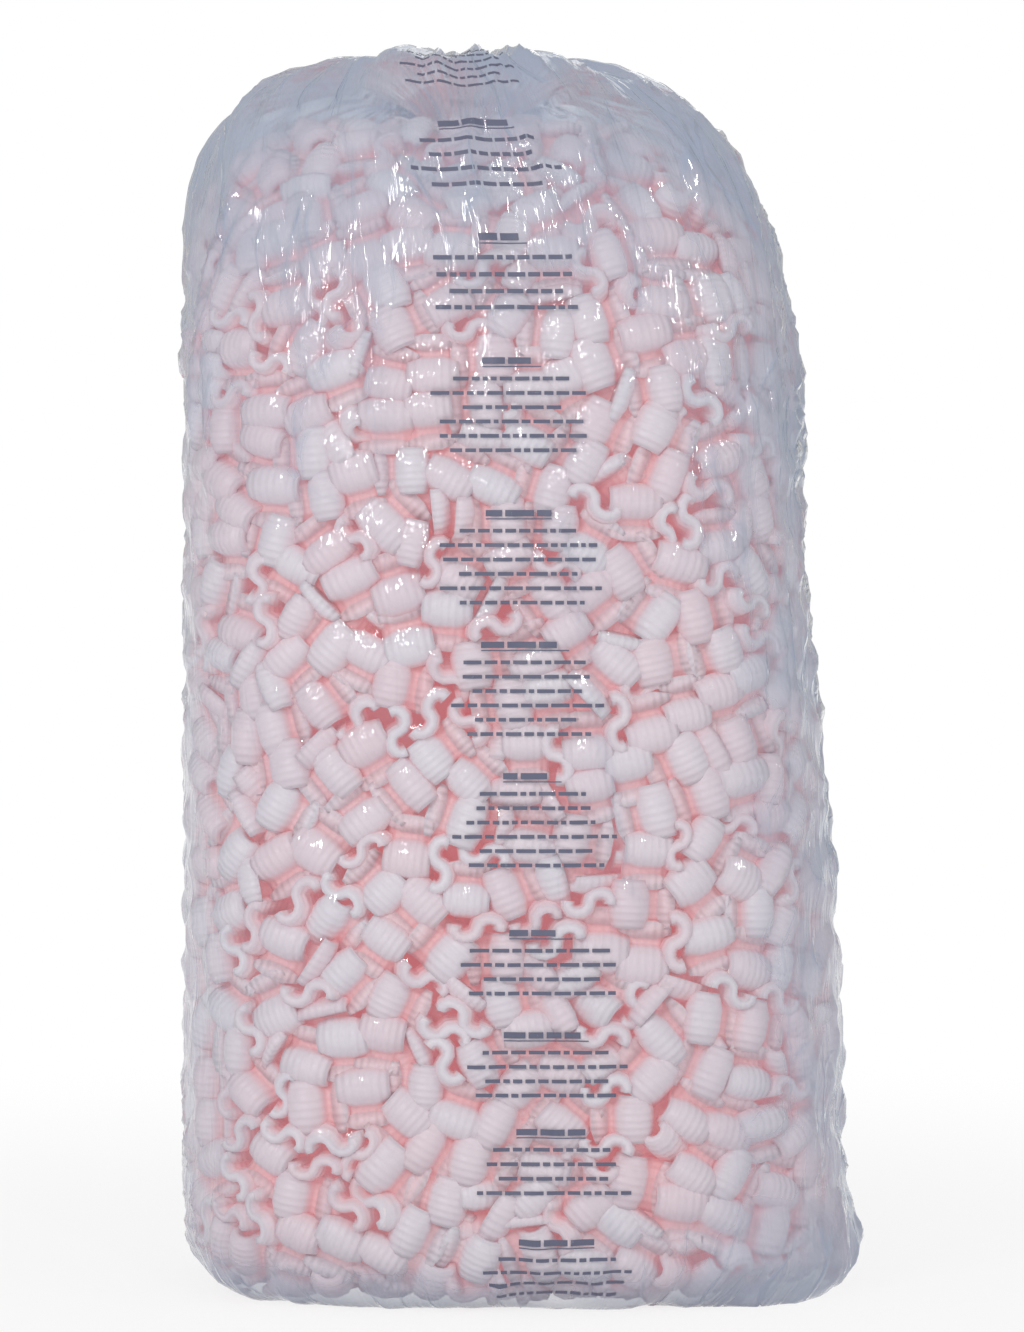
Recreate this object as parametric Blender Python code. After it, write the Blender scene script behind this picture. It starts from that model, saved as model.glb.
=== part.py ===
"""A clear film bag full of S-shaped packing peanuts, standing upright and closed at a gathered neck.

Metres, +Z up, the front faces -Y. The origin is at the middle of the flat base.
"""

import math
import random

import bmesh
import bpy
import numpy as np
from mathutils import Matrix, Vector
from mathutils.bvhtree import BVHTree

# Driving sizes of the filled bag
BAG_WIDTH = 0.440
BAG_DEPTH = 0.340
BAG_HEIGHT = 0.815
BOTTOM_RADIUS = 0.050
RIGHT_TAPER = 0.030
TAPER_START = 0.150
LEFT_SHOULDER = 0.195
RIGHT_SHOULDER = 0.235
FACE_SHOULDER = 0.225
LEFT_SHOULDER_POWER = 4.5
RIGHT_SHOULDER_POWER = 2.6
FACE_SHOULDER_POWER = 2.8
BODY_POWER = 3.2
LIP_POWER = 2.2
FILM_WALL = 0.0006
TOUCH_GAP = 0.0003

# Gathered neck, the band that closes it, and the tail of film behind it
NECK_X = -0.030
NECK_Y = 0.035
NECK_RADIUS = 0.015
NECK_LENGTH = 0.011
LIP_RADIUS = 0.065
LIP_TILT = math.radians(11.5)
DIMPLE_DEPTH = 0.026
DIMPLE_MARGIN = 0.004
DIMPLE_BEND = (0.58, 0.45, 0.70)
DIMPLE_PLEATS = 0.60
NECK_PLEATS = 0.25
BAND_HEIGHT = 0.007
BAND_THICKNESS = 0.0025
TAIL_LENGTH = 0.090
TAIL_HALF_WIDTH = 0.052
TAIL_HALF_THICKNESS = 0.005
TAIL_OPENING = 0.25
TAIL_BENDS = ((0.07, 0.0085, 25), (0.24, 0.0125, 75), (0.60, 0.0100, 92), (1.0, 0.0005, 104))
TAIL_TOP_PLEATS = 0.40
TAIL_UNDER_PLEATS = 0.25
PLEATS = 10
PLEAT_HEIGHT = 0.009
BOTTOM_PLEAT_HEIGHT = 0.004
PLEAT_REACH = 0.190
CRUMPLE = 0.003
RIGHT_EAR = 0.0030
LEFT_EAR = 0.0015

# Packing peanuts
PEANUT_LENGTH = 0.037
PEANUT_WIDTH = 0.031
PEANUT_HEIGHT = 0.020
STRIP_THICKNESS = 0.0085
CURL_SWEEP = math.radians(205)
PEANUT_SPACING = 0.0015
SEAT_GAP = 0.0004
ON_SIDE_SHARE = 0.5
LOOSE_CLEARANCE = 0.0012
HEADSPACE = 0.070
FILL_MARGIN = 0.0020
PILLOW_HEIGHTS = (0.0060, 0.0080, 0.0100)
PILLOW_EDGE = 0.0075
PILLOW_JITTER = 0.30
ROW_STAGGER = 0.30
DOME_HEIGHT = 0.056
BASE_EDGE_RISE = 0.0125

# Fineness of the meshes
FILM_COLUMNS = 40
BASE_STEPS = (0, 30, 60, 90)
SIDE_ROWS = 8
SHOULDER_RINGS = (0.18, 0.34, 0.48, 0.60, 0.71, 0.80, 0.88, 0.95)
DOME_RINGS = ((0.40, 0.40, 1.0), (0.80, 0.80, 1.0), (1.0, 0.95, 0.75))
FILL_COLUMNS = 36
FILL_ROWS = 18
CURL_STEPS = 4
BAND_SIDES = 24
SEATING_STEP = 0.004
SEED = 11

LIP_RISE = LIP_RADIUS * math.sin(LIP_TILT)
LIP_Z = BAG_HEIGHT - LIP_RISE
FILL_DROP = HEADSPACE - LIP_RISE
FILL_INSET = FILM_WALL + CRUMPLE + FILL_MARGIN + max(PILLOW_HEIGHTS)
DOME_FOOT = LIP_Z - FILL_DROP - DOME_HEIGHT


def clear_scene():
    for old in list(bpy.data.objects):
        bpy.data.objects.remove(old, do_unlink=True)


def material(name, colour, roughness, alpha=1.0):
    made = bpy.data.materials.new(name)
    made.use_nodes = True
    shader = made.node_tree.nodes["Principled BSDF"]
    shader.inputs["Base Color"].default_value = (*colour, 1.0)
    shader.inputs["Roughness"].default_value = roughness
    shader.inputs["Alpha"].default_value = alpha
    made.diffuse_color = (*colour, alpha)
    return made


def add_object(name, mesh, finish):
    made = bpy.data.objects.new(name, mesh)
    mesh.materials.append(finish)
    bpy.context.scene.collection.objects.link(made)
    return made


def smooth_step(value):
    clamped = min(max(value, 0.0), 1.0)
    return clamped * clamped * (3.0 - 2.0 * clamped)


def shoulder(z, top, height, power):
    """Share of the full half-width left at height z, on a shoulder of this height below the top."""
    rise = min(max((z - (top - height)) / height, 0.0), 1.0)
    return (1.0 - rise**power) ** (1.0 / power)


def half_widths(z, drop=0.0, inset=0.0):
    """Right, left and front or back reach of the bag at height z, lowered by drop and drawn in by inset."""
    top = LIP_Z - drop
    low = inset + TOUCH_GAP if inset else 0.0
    radius = BOTTOM_RADIUS
    corner = min(max((radius - (z - low)) / radius, 0.0), 1.0)
    pulled_in = inset + radius * (1.0 - math.sqrt(1.0 - corner * corner))
    taper_length = LIP_Z - RIGHT_SHOULDER - TAPER_START
    taper = RIGHT_TAPER * smooth_step((z - TAPER_START) / taper_length)
    right = (BAG_WIDTH / 2 - taper) * shoulder(z, top, RIGHT_SHOULDER, RIGHT_SHOULDER_POWER)
    left = BAG_WIDTH / 2 * shoulder(z, top, LEFT_SHOULDER, LEFT_SHOULDER_POWER)
    face = BAG_DEPTH / 2 * shoulder(z, top, FACE_SHOULDER, FACE_SHOULDER_POWER)
    return right - pulled_in, left - pulled_in, face - pulled_in


def outline(right, left, face, power, count, middle=(0.0, 0.0)):
    """A rounded rectangle seen from its middle: count points, evenly spaced in each quarter."""
    points = []
    per_quarter = count // 4
    for quarter in range(4):
        angle = np.radians(np.linspace(90.0 * quarter, 90.0 * quarter + 90.0, 91))
        cosine, sine = np.cos(angle), np.sin(angle)
        across = right - middle[0] if quarter in (0, 3) else left + middle[0]
        deep = face - middle[1] if quarter in (0, 1) else face + middle[1]
        x = across * np.sign(cosine) * np.abs(cosine) ** (2.0 / power)
        y = deep * np.sign(sine) * np.abs(sine) ** (2.0 / power)
        along = np.concatenate(([0.0], np.cumsum(np.hypot(np.diff(x), np.diff(y)))))
        wanted = along[-1] * np.arange(per_quarter) / per_quarter
        points += zip(np.interp(wanted, along, x), np.interp(wanted, along, y))
    return points


def place_ring(flat, centre, tilt=0.0):
    """Puts a flat outline at its centre, with its plane turned back about X by tilt."""
    turn = Matrix.Rotation(-tilt, 3, "X")
    return [centre + turn @ Vector((x, y, 0.0)) for x, y in flat]


def pleated(flat, heights, share):
    """Pushes an outline out from its middle by the pleats' heights."""
    raised = []
    for (x, y), height in zip(flat, heights):
        reach = math.hypot(x, y)
        factor = (reach + height * share) / reach
        raised.append((x * factor, y * factor))
    return raised


def loft(bm, rings):
    """Skins rings of equal count with quads, and gives back their vertices."""
    rows = [[bm.verts.new(point) for point in ring] for ring in rings]
    for lower, upper in zip(rows, rows[1:]):
        for k in range(len(lower)):
            after = (k + 1) % len(lower)
            bm.faces.new((lower[k], lower[after], upper[after], upper[k]))
    return rows


def pleat_heights(rng):
    """Height of the film's pleats at each column: one ridge to a pleat, no two quite alike."""
    scales = [rng.uniform(0.55, 1.0) for _ in range(PLEATS)]
    heights = []
    for k in range(FILM_COLUMNS):
        turn = k * PLEATS / FILM_COLUMNS
        ridge = 0.5 + 0.5 * math.cos(2.0 * math.pi * turn)
        heights.append(PLEAT_HEIGHT * ridge * scales[round(turn) % PLEATS])
    return heights


def ear_reach(number):
    """How far the corner of the bottom seal stands out at a column: an ear at each end of the seal."""
    right_end = min(number, FILM_COLUMNS - number)
    left_end = abs(number - FILM_COLUMNS // 2)
    return RIGHT_EAR / (1 + right_end**2) + LEFT_EAR / (1 + left_end**2)


def base_rings(heights):
    """The rounded edge of the base, from the flat patch up, with small pleats and the seal's two ears."""
    rings = []
    for degrees in BASE_STEPS:
        z = BOTTOM_RADIUS * (1.0 - math.cos(math.radians(degrees)))
        flat = outline(*half_widths(z), BODY_POWER, FILM_COLUMNS)
        bulge = math.sin(math.radians(2 * degrees))
        share = BOTTOM_PLEAT_HEIGHT / PLEAT_HEIGHT
        pushed = [bulge * (height * share + ear_reach(k)) for k, height in enumerate(heights)]
        rings.append(place_ring(pleated(flat, pushed, 1.0), Vector((0.0, 0.0, z))))
    return rings


def body_rings(heights, rng):
    """The sides and the shoulders, up to the lip round the neck, drawn in unevenly between the peanuts."""
    rings = []
    side_top = LIP_Z - RIGHT_SHOULDER
    side_rise = side_top - BOTTOM_RADIUS
    levels = [BOTTOM_RADIUS + side_rise * k / SIDE_ROWS for k in range(1, SIDE_ROWS + 1)]
    levels += [side_top + RIGHT_SHOULDER * share for share in SHOULDER_RINGS]
    for z in levels:
        near_top = smooth_step((z - (LIP_Z - PLEAT_REACH)) / PLEAT_REACH)
        power = BODY_POWER + (LIP_POWER - BODY_POWER) * near_top
        middle = (NECK_X * near_top**2, NECK_Y * near_top**2)
        flat = outline(*half_widths(z), power, FILM_COLUMNS, middle)
        pushed = [height * near_top - rng.uniform(0.0, CRUMPLE) for height in heights]
        centre = Vector((*middle, z))
        rings.append(place_ring(pleated(flat, pushed, 1.0), centre, LIP_TILT * near_top))
    return rings


def neck_rings(heights):
    """The lip, the dimple inside it and the neck, about the neck's own axis."""
    neck_z = LIP_Z - DIMPLE_DEPTH
    inward, downward, upright = DIMPLE_BEND
    steps = (
        (LIP_RADIUS, LIP_Z, LIP_TILT, 0.0),
        (LIP_RADIUS * inward, LIP_Z - DIMPLE_DEPTH * downward, LIP_TILT * upright, DIMPLE_PLEATS),
        (NECK_RADIUS + DIMPLE_MARGIN, neck_z, 0.0, NECK_PLEATS),
        (NECK_RADIUS, neck_z + DIMPLE_MARGIN / 2, 0.0, 0.0),
        (NECK_RADIUS, neck_z + DIMPLE_MARGIN / 2 + NECK_LENGTH, 0.0, 0.0),
    )
    rings = []
    for radius, z, tilt, share in steps:
        flat = pleated(outline(radius, radius, radius, 2.0, FILM_COLUMNS), heights, share)
        rings.append(place_ring(flat, Vector((NECK_X, NECK_Y, z)), tilt))
    return rings


def tail_rings(heights):
    """The film above the band, bent back over the rear of the top and fanned out flat."""
    start = LIP_Z - DIMPLE_DEPTH + DIMPLE_MARGIN / 2 + NECK_LENGTH
    rings = []
    for share, rise, tilt in TAIL_BENDS:
        opened = math.sin(share * math.pi / 2)
        wide = NECK_RADIUS + (TAIL_HALF_WIDTH - NECK_RADIUS) * opened
        thin = NECK_RADIUS + (TAIL_HALF_THICKNESS - NECK_RADIUS) * min(1.0, share / TAIL_OPENING)
        flat = outline(wide, wide, thin, 2.0, FILM_COLUMNS)
        flat = [
            (x, y + height * (TAIL_TOP_PLEATS if y > 0 else TAIL_UNDER_PLEATS))
            for (x, y), height in zip(flat, heights)
        ]
        centre = Vector((NECK_X, NECK_Y + TAIL_LENGTH * share, start + rise))
        rings.append(place_ring(flat, centre, math.radians(tilt)))
    return rings


def make_film_bag():
    """The film: one sheet from the flat base to the open end of the tail, with its wall inside."""
    rng = random.Random(SEED)
    heights = pleat_heights(rng)
    bm = bmesh.new()
    rings = base_rings(heights) + body_rings(heights, rng) + neck_rings(heights) + tail_rings(heights)
    rows = loft(bm, rings)
    bm.faces.new(list(reversed(rows[0])))
    mesh = bpy.data.meshes.new("film_bag")
    bm.to_mesh(mesh)
    bm.free()
    bag = add_object("film_bag", mesh, material("clear polyethylene film", (0.71, 0.76, 0.85), 0.18, 0.3))
    wall = bag.modifiers.new("wall", "SOLIDIFY")
    wall.thickness = FILM_WALL
    wall.offset = -1.0
    wall.use_even_offset = True
    return bag


def make_neck_band():
    """A plain band drawn round the gathered neck, a touch clear of the film."""
    inner = (NECK_RADIUS + TOUCH_GAP) / math.cos(math.pi / BAND_SIDES)
    outer = inner + BAND_THICKNESS
    low = LIP_Z - DIMPLE_DEPTH + DIMPLE_MARGIN / 2 + (NECK_LENGTH - BAND_HEIGHT) / 2
    corners = ((outer, low), (outer, low + BAND_HEIGHT), (inner, low + BAND_HEIGHT), (inner, low))
    bm = bmesh.new()
    rings = []
    for radius, z in corners:
        flat = [
            (radius * math.cos(2 * math.pi * k / BAND_SIDES), radius * math.sin(2 * math.pi * k / BAND_SIDES))
            for k in range(BAND_SIDES)
        ]
        rings.append(place_ring(flat, Vector((NECK_X, NECK_Y, z))))
    rows = loft(bm, rings)
    for k in range(BAND_SIDES):
        after = (k + 1) % BAND_SIDES
        bm.faces.new((rows[3][k], rows[3][after], rows[0][after], rows[0][k]))
    mesh = bpy.data.meshes.new("neck_band")
    bm.to_mesh(mesh)
    bm.free()
    return add_object("neck_band", mesh, material("white closure tape", (0.82, 0.82, 0.84), 0.4))


def fill_reach(z):
    """Right, left and front or back reach of the packed peanuts at height z, at the foot of their blocks."""
    return half_widths(z, FILL_DROP, FILL_INSET)


def block_rings(levels, rng):
    """The corners of the blocks on the sides: rows that are staggered, and no two blocks quite alike."""
    rings = []
    row_height = levels[1] - levels[0]
    for number, z in enumerate(levels):
        flat = outline(*fill_reach(z), BODY_POWER, FILL_COLUMNS)
        ring = []
        for k, (x, y) in enumerate(flat):
            after_x, after_y = flat[(k + 1) % FILL_COLUMNS]
            slide = ROW_STAGGER * (number % 2) + rng.uniform(-PILLOW_JITTER, PILLOW_JITTER) / 2
            lift = row_height * rng.uniform(-PILLOW_JITTER, PILLOW_JITTER) if 0 < number < FILL_ROWS else 0.0
            ring.append(Vector((x + (after_x - x) * slide, y + (after_y - y) * slide, z + lift)))
        rings.append(ring)
    return rings


def dome_rings():
    """The smooth top of the packed peanuts, where the loose ones lie."""
    rings = []
    for rise, reach_rise, squeeze in DOME_RINGS:
        reach = fill_reach(DOME_FOOT + DOME_HEIGHT * reach_rise)
        flat = [(x * squeeze, y * squeeze) for x, y in outline(*reach, BODY_POWER, FILL_COLUMNS)]
        rings.append(place_ring(flat, Vector((0.0, 0.0, DOME_FOOT + DOME_HEIGHT * rise))))
    return rings


def make_packed_peanuts(finish):
    """The packed peanuts as one solid, its sides raised in blocks like peanuts against the film."""
    base = FILM_WALL + TOUCH_GAP
    first = base + BASE_EDGE_RISE
    levels = [first + (DOME_FOOT - first) * k / FILL_ROWS for k in range(FILL_ROWS + 1)]
    rng = random.Random(SEED + 1)
    rings = [place_ring(outline(*fill_reach(base), BODY_POWER, FILL_COLUMNS), Vector((0.0, 0.0, base)))]
    rings += block_rings(levels, rng) + dome_rings()
    bm = bmesh.new()
    rows = loft(bm, rings)
    sides = list(bm.faces)
    bm.faces.new(list(reversed(rows[0])))
    bm.faces.new(rows[-1])
    bm.normal_update()
    blocks = sides[FILL_COLUMNS : FILL_COLUMNS * (FILL_ROWS + 1)]
    rng.shuffle(blocks)
    for number, height in enumerate(PILLOW_HEIGHTS):
        alike = blocks[number :: len(PILLOW_HEIGHTS)]
        bmesh.ops.inset_individual(bm, faces=alike, thickness=PILLOW_EDGE, depth=height)
    mesh = bpy.data.meshes.new("packed_peanuts")
    bm.to_mesh(mesh)
    bm.free()
    return add_object("packed_peanuts", mesh, finish)


def curl_path():
    """The middle line of the S, as points and unit normals in its own plane: an arch and then a trough."""
    radius = (PEANUT_LENGTH - STRIP_THICKNESS) / 4
    flatten = (PEANUT_HEIGHT - STRIP_THICKNESS) / (2 * radius)
    path = []
    for step in range(-CURL_STEPS, CURL_STEPS + 1):
        turned = abs(step) * CURL_SWEEP / CURL_STEPS
        side = math.copysign(1.0, step) if step else 0.0
        x = side * (radius - radius * math.cos(turned))
        z = -side * radius * math.sin(turned) * flatten
        path.append(Vector((x, 0.0, z)))
    normals = []
    for k in range(len(path)):
        along = path[min(k + 1, len(path) - 1)] - path[max(k - 1, 0)]
        normals.append(Vector((-along.z, 0.0, along.x)).normalized())
    return list(zip(path, normals))


def peanut_mesh(name):
    """One peanut: a flat strip bent to an S and as wide as the peanut, centred on the origin."""
    bm = bmesh.new()
    pairs = []
    back = Vector((0.0, PEANUT_WIDTH / 2, 0.0))
    for middle, normal in curl_path():
        reach = normal * STRIP_THICKNESS / 2
        pairs.append((bm.verts.new(middle - reach + back), bm.verts.new(middle + reach + back)))
    for (low, high), (next_low, next_high) in zip(pairs, pairs[1:]):
        bm.faces.new((low, high, next_high, next_low))
    pushed = bmesh.ops.extrude_face_region(bm, geom=list(bm.faces))
    moved = [item for item in pushed["geom"] if isinstance(item, bmesh.types.BMVert)]
    bmesh.ops.translate(bm, verts=moved, vec=-2 * back)
    bmesh.ops.recalc_face_normals(bm, faces=list(bm.faces))
    mesh = bpy.data.meshes.new(name)
    bm.to_mesh(mesh)
    bm.free()
    return mesh


def surface_points(mesh):
    """Points all over a mesh: its corners, and points along its edges and in its faces."""
    points = [vertex.co.copy() for vertex in mesh.vertices]
    for edge in mesh.edges:
        start, end = (mesh.vertices[index].co for index in edge.vertices)
        parts = max(1, math.ceil((end - start).length / SEATING_STEP))
        points += [start.lerp(end, k / parts) for k in range(1, parts)]
    points += [face.center.copy() for face in mesh.polygons]
    return points


def evaluated_tree(item):
    bpy.context.view_layer.update()
    return BVHTree.FromObject(item, bpy.context.evaluated_depsgraph_get())


def clearance(points, place, tree, direction):
    """The least distance from the placed points to a surface in one direction."""
    least = math.inf
    for point in points:
        start = place @ point
        hit = tree.ray_cast(start, direction)[0]
        if hit is not None:
            least = min(least, (hit - start).length)
    return least


def room_above(ground, place, shape_tree, direction):
    """The least distance from points of the ground up to the placed shape."""
    back = place.inverted()
    local_direction = back.to_3x3() @ direction
    least = math.inf
    for point in ground:
        start = back @ point
        hit = shape_tree.ray_cast(start, local_direction)[0]
        if hit is not None:
            least = min(least, (hit - start).length)
    return least


def seated(shape, x, y, turn, on_side, ground, fill_tree):
    """Where a loose peanut rests on the packed ones at x and y, flat or on its side."""
    hit, normal, _, _ = fill_tree.ray_cast(Vector((x, y, BAG_HEIGHT)), Vector((0.0, 0.0, -1.0)))
    lean = Vector((0.0, 0.0, 1.0)).rotation_difference(normal).to_matrix().to_4x4()
    tip = Matrix.Rotation(math.radians(90), 4, "X") if on_side else Matrix.Identity(4)
    high = Matrix.Translation(hit + normal * PEANUT_LENGTH) @ lean @ Matrix.Rotation(turn, 4, "Z") @ tip
    near = [point for point in ground if (point - hit).length < PEANUT_LENGTH]
    points, shape_tree = shape
    free = min(clearance(points, high, fill_tree, -normal), room_above(near, high, shape_tree, normal))
    return Matrix.Translation(normal * (SEAT_GAP - free)) @ high


def clear_of(points, place, tree):
    """The least distance from the placed points to a surface, any way round."""
    return min(tree.find_nearest(place @ point)[3] for point in points)


def loose_places():
    """Staggered places for loose peanuts, all over the smooth dome."""
    pitch = math.hypot(PEANUT_LENGTH, PEANUT_WIDTH) + PEANUT_SPACING
    row_pitch = pitch * math.sin(math.radians(60))
    right, left, face = (reach - PEANUT_HEIGHT / 2 for reach in fill_reach(DOME_FOOT))
    rows, columns = math.floor(face / row_pitch), math.ceil(max(left, right) / pitch)
    places = []
    for row in range(-rows, rows + 1):
        for column in range(-columns, columns + 1):
            x, y = (column + 0.5 * (row % 2)) * pitch, row * row_pitch
            across = abs(x) / (right if x > 0 else left)
            if across**BODY_POWER + abs(y / face) ** BODY_POWER < 1.0:
                places.append((x, y))
    return places


def make_loose_peanuts(finish, fill, film):
    """The top layer: single peanuts over the packed ones, on their side where the film leaves room."""
    rng = random.Random(SEED + 2)
    fill_tree, film_tree = evaluated_tree(fill), evaluated_tree(film)
    master = peanut_mesh("loose_peanut")
    corners = [vertex.co for vertex in master.vertices]
    shape_tree = BVHTree.FromPolygons(corners, [list(face.vertices) for face in master.polygons])
    points = surface_points(master)
    ground = surface_points(fill.data)
    for number, (x, y) in enumerate(loose_places(), start=1):
        turn = rng.uniform(0.0, 2.0 * math.pi)
        on_side = rng.random() < ON_SIDE_SHARE
        place = seated((points, shape_tree), x, y, turn, on_side, ground, fill_tree)
        if on_side and clear_of(points, place, film_tree) < LOOSE_CLEARANCE:
            place = seated((points, shape_tree), x, y, turn, False, ground, fill_tree)
        add_object(f"loose_peanut_{number:02d}", master.copy(), finish).matrix_world = place
    bpy.data.meshes.remove(master)


clear_scene()
foam = material("pink polystyrene foam", (0.80, 0.62, 0.66), 0.6)
film_bag = make_film_bag()
make_neck_band()
packed_peanuts = make_packed_peanuts(foam)
make_loose_peanuts(foam, packed_peanuts, film_bag)
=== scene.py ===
# %% [markdown]
# # A clear bag full of packing peanuts
#
# The real object is one bag of thin polyethylene film, blown full of S-shaped foam peanuts, drawn
# together at a neck and closed with a plain band. Nearly all of what the eye sees is behind the film:
# ribbed pale pink foam, with deep coral gaps where light has bounced from one peanut to the next.
# So the order is: where each peanut lies, the peanuts, the film over them, and the print on the film.

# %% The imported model, and the tools that the lesson uses
import math
import random

import bpy
import numpy as np
from mathutils import Matrix, Quaternion, Vector
from mathutils.bvhtree import BVHTree


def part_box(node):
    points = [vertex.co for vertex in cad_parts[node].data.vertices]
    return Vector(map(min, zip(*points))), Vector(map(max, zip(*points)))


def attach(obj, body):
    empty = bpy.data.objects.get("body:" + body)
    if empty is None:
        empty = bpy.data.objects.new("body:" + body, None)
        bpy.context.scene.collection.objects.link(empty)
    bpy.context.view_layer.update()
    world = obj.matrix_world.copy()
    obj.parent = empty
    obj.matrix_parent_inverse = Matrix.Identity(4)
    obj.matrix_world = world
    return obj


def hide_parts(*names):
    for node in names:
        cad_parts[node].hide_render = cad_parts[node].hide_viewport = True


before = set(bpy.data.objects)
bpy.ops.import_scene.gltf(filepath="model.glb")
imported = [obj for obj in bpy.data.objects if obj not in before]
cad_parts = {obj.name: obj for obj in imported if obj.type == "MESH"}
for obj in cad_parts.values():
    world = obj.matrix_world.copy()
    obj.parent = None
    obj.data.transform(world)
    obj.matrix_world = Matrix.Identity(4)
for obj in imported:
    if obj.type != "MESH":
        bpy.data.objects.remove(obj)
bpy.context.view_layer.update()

BODY = "root"
MM = 0.001

# %% [markdown]
# ## The form of the filled bag
#
# A tightly filled bag is a rounded box: flat where it stands, straight along its sides, and drawn in
# at two shoulders towards the neck. Each level is a superellipse, and each shoulder falls away by a
# power law. These are the sizes that the solid bag was made from; the overall ones are measured on it.

# %% Sizes of the filled bag
low_corner, high_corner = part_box("film_bag")
BAG_WIDTH = high_corner.x - low_corner.x
BAG_DEPTH = high_corner.y - low_corner.y
BAG_HEIGHT = high_corner.z
BOTTOM_RADIUS = 50 * MM
RIGHT_TAPER = 30 * MM
TAPER_START = 150 * MM
LEFT_SHOULDER = 195 * MM
RIGHT_SHOULDER = 235 * MM
FACE_SHOULDER = 225 * MM
LEFT_SHOULDER_POWER = 4.5
RIGHT_SHOULDER_POWER = 2.6
FACE_SHOULDER_POWER = 2.8
BODY_POWER = 3.2
LIP_POWER = 2.2
CRUMPLE = 3 * MM
NECK_X = -30 * MM
NECK_Y = 35 * MM
NECK_RADIUS = 15 * MM
NECK_LENGTH = 11 * MM
LIP_RADIUS = 65 * MM
LIP_TILT = math.radians(11.5)
DIMPLE_DEPTH = 26 * MM
DIMPLE_MARGIN = 4 * MM
# Where the film bends into the dimple: shares of the radius, the depth and the tilt.
DIMPLE_BEND = (0.58, 0.45, 0.70)
DIMPLE_PLEATS = 0.60
NECK_PLEATS = 0.25
TAIL_LENGTH = 90 * MM
TAIL_HALF_WIDTH = 52 * MM
TAIL_HALF_THICKNESS = 5 * MM
TAIL_OPENING = 0.25
# Rings of the tail: how far along it, how high in metres, and how far it has turned in degrees.
TAIL_BENDS = ((0.07, 0.0085, 25), (0.24, 0.0125, 75), (0.60, 0.0100, 92), (1.0, 0.0005, 104))
TAIL_TOP_PLEATS = 0.40
TAIL_UNDER_PLEATS = 0.25
PLEATS = 10
PLEAT_HEIGHT = 9 * MM
BOTTOM_PLEAT_HEIGHT = 4 * MM
PLEAT_REACH = 190 * MM
EAR_COLUMNS = 40
RIGHT_EAR = 3.0 * MM
LEFT_EAR = 1.5 * MM
FORM_SEED = 11

LIP_Z = BAG_HEIGHT - LIP_RADIUS * math.sin(LIP_TILT)
print(f"bag {BAG_WIDTH:.3f} x {BAG_DEPTH:.3f} x {BAG_HEIGHT:.3f} m, lip at {LIP_Z:.3f} m")


# %% How far the bag reaches at a height
def smooth_step(value):
    clamped = np.clip(value, 0.0, 1.0)
    return clamped * clamped * (3.0 - 2.0 * clamped)


def ramp(value, start, reach):
    """0 up to start and 1 from start + reach on, smooth between."""
    return smooth_step((value - start) / reach)


def shoulder(z, top, height, power):
    """Share of the full half-width left at height z, on a shoulder of this height below the top."""
    rise = np.clip((z - (top - height)) / height, 0.0, 1.0)
    return (1.0 - rise**power) ** (1.0 / power)


def half_widths(z, drop=0.0, inset=0.0):
    """Right, left and front or back reach of the bag at height z, lowered by drop and drawn in by inset."""
    top = LIP_Z - drop
    radius = max(BOTTOM_RADIUS - inset, MM)
    corner = np.clip((BOTTOM_RADIUS - z) / radius, 0.0, 1.0)
    pulled_in = inset + radius * (1.0 - np.sqrt(1.0 - corner * corner))
    taper = RIGHT_TAPER * ramp(z, TAPER_START, LIP_Z - RIGHT_SHOULDER - TAPER_START)
    right = (BAG_WIDTH / 2 - taper) * shoulder(z, top, RIGHT_SHOULDER, RIGHT_SHOULDER_POWER)
    left = BAG_WIDTH / 2 * shoulder(z, top, LEFT_SHOULDER, LEFT_SHOULDER_POWER)
    face = BAG_DEPTH / 2 * shoulder(z, top, FACE_SHOULDER, FACE_SHOULDER_POWER)
    return right - pulled_in, left - pulled_in, face - pulled_in


def level_form(z, drop=0.0):
    """How square a level is, and where its middle lies: the neck is left of and behind the centre."""
    near_top = ramp(z, LIP_Z - drop - PLEAT_REACH, PLEAT_REACH)
    power = BODY_POWER + (LIP_POWER - BODY_POWER) * near_top
    return power, NECK_X * near_top**2, NECK_Y * near_top**2, near_top


# %% [markdown]
# ## Where the peanuts lie
#
# Poured foam peanuts lie any way round. Most of those against the film turn their flat side to it, and
# about one in five shows its S. Placing them by a formula looks like bricks, and a rigid body simulation
# of two thousand of them is slow. Here each peanut is four balls that keep their places to one another.
# The balls start small and grow until they touch. Every step pushes touching balls apart, presses the
# outer ones to the film, and then turns each peanut to fit its balls again.

# %% Sizes of a peanut, and of the fill
PEANUT_LENGTH = 37 * MM
PEANUT_WIDTH = 31 * MM
PEANUT_HEIGHT = 20 * MM
STRIP_THICKNESS = 8.5 * MM
CURL_SWEEP = math.radians(205)
BALL_RADIUS = PEANUT_HEIGHT / 2
BALL_PLACES = np.array([
    (x * (PEANUT_LENGTH / 2 - BALL_RADIUS), y * (PEANUT_WIDTH / 2 - BALL_RADIUS), 0.0)
    for x in (-1, 1) for y in (-1, 1)
])
FILL_GAP = 2.5 * MM
HEADSPACE = 16 * MM
FILL_TOP = LIP_Z - DIMPLE_DEPTH - 2 * MM
LAYER_DEPTH = 46 * MM
FLOOR_GAP = 6 * MM
SOLVER_STEPS = 240
PEANUTS_PER_LITRE = 58.0
# The first steps grow the balls, by a share of their size, until this share of the steps is done.
START_SIZE = 0.55
GROWTH = 0.45
GROWN_BY = 0.6
OVERPUSH = 1.5
LONGEST_STEP = 6 * MM
STARTS_TRIED = 60000
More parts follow.
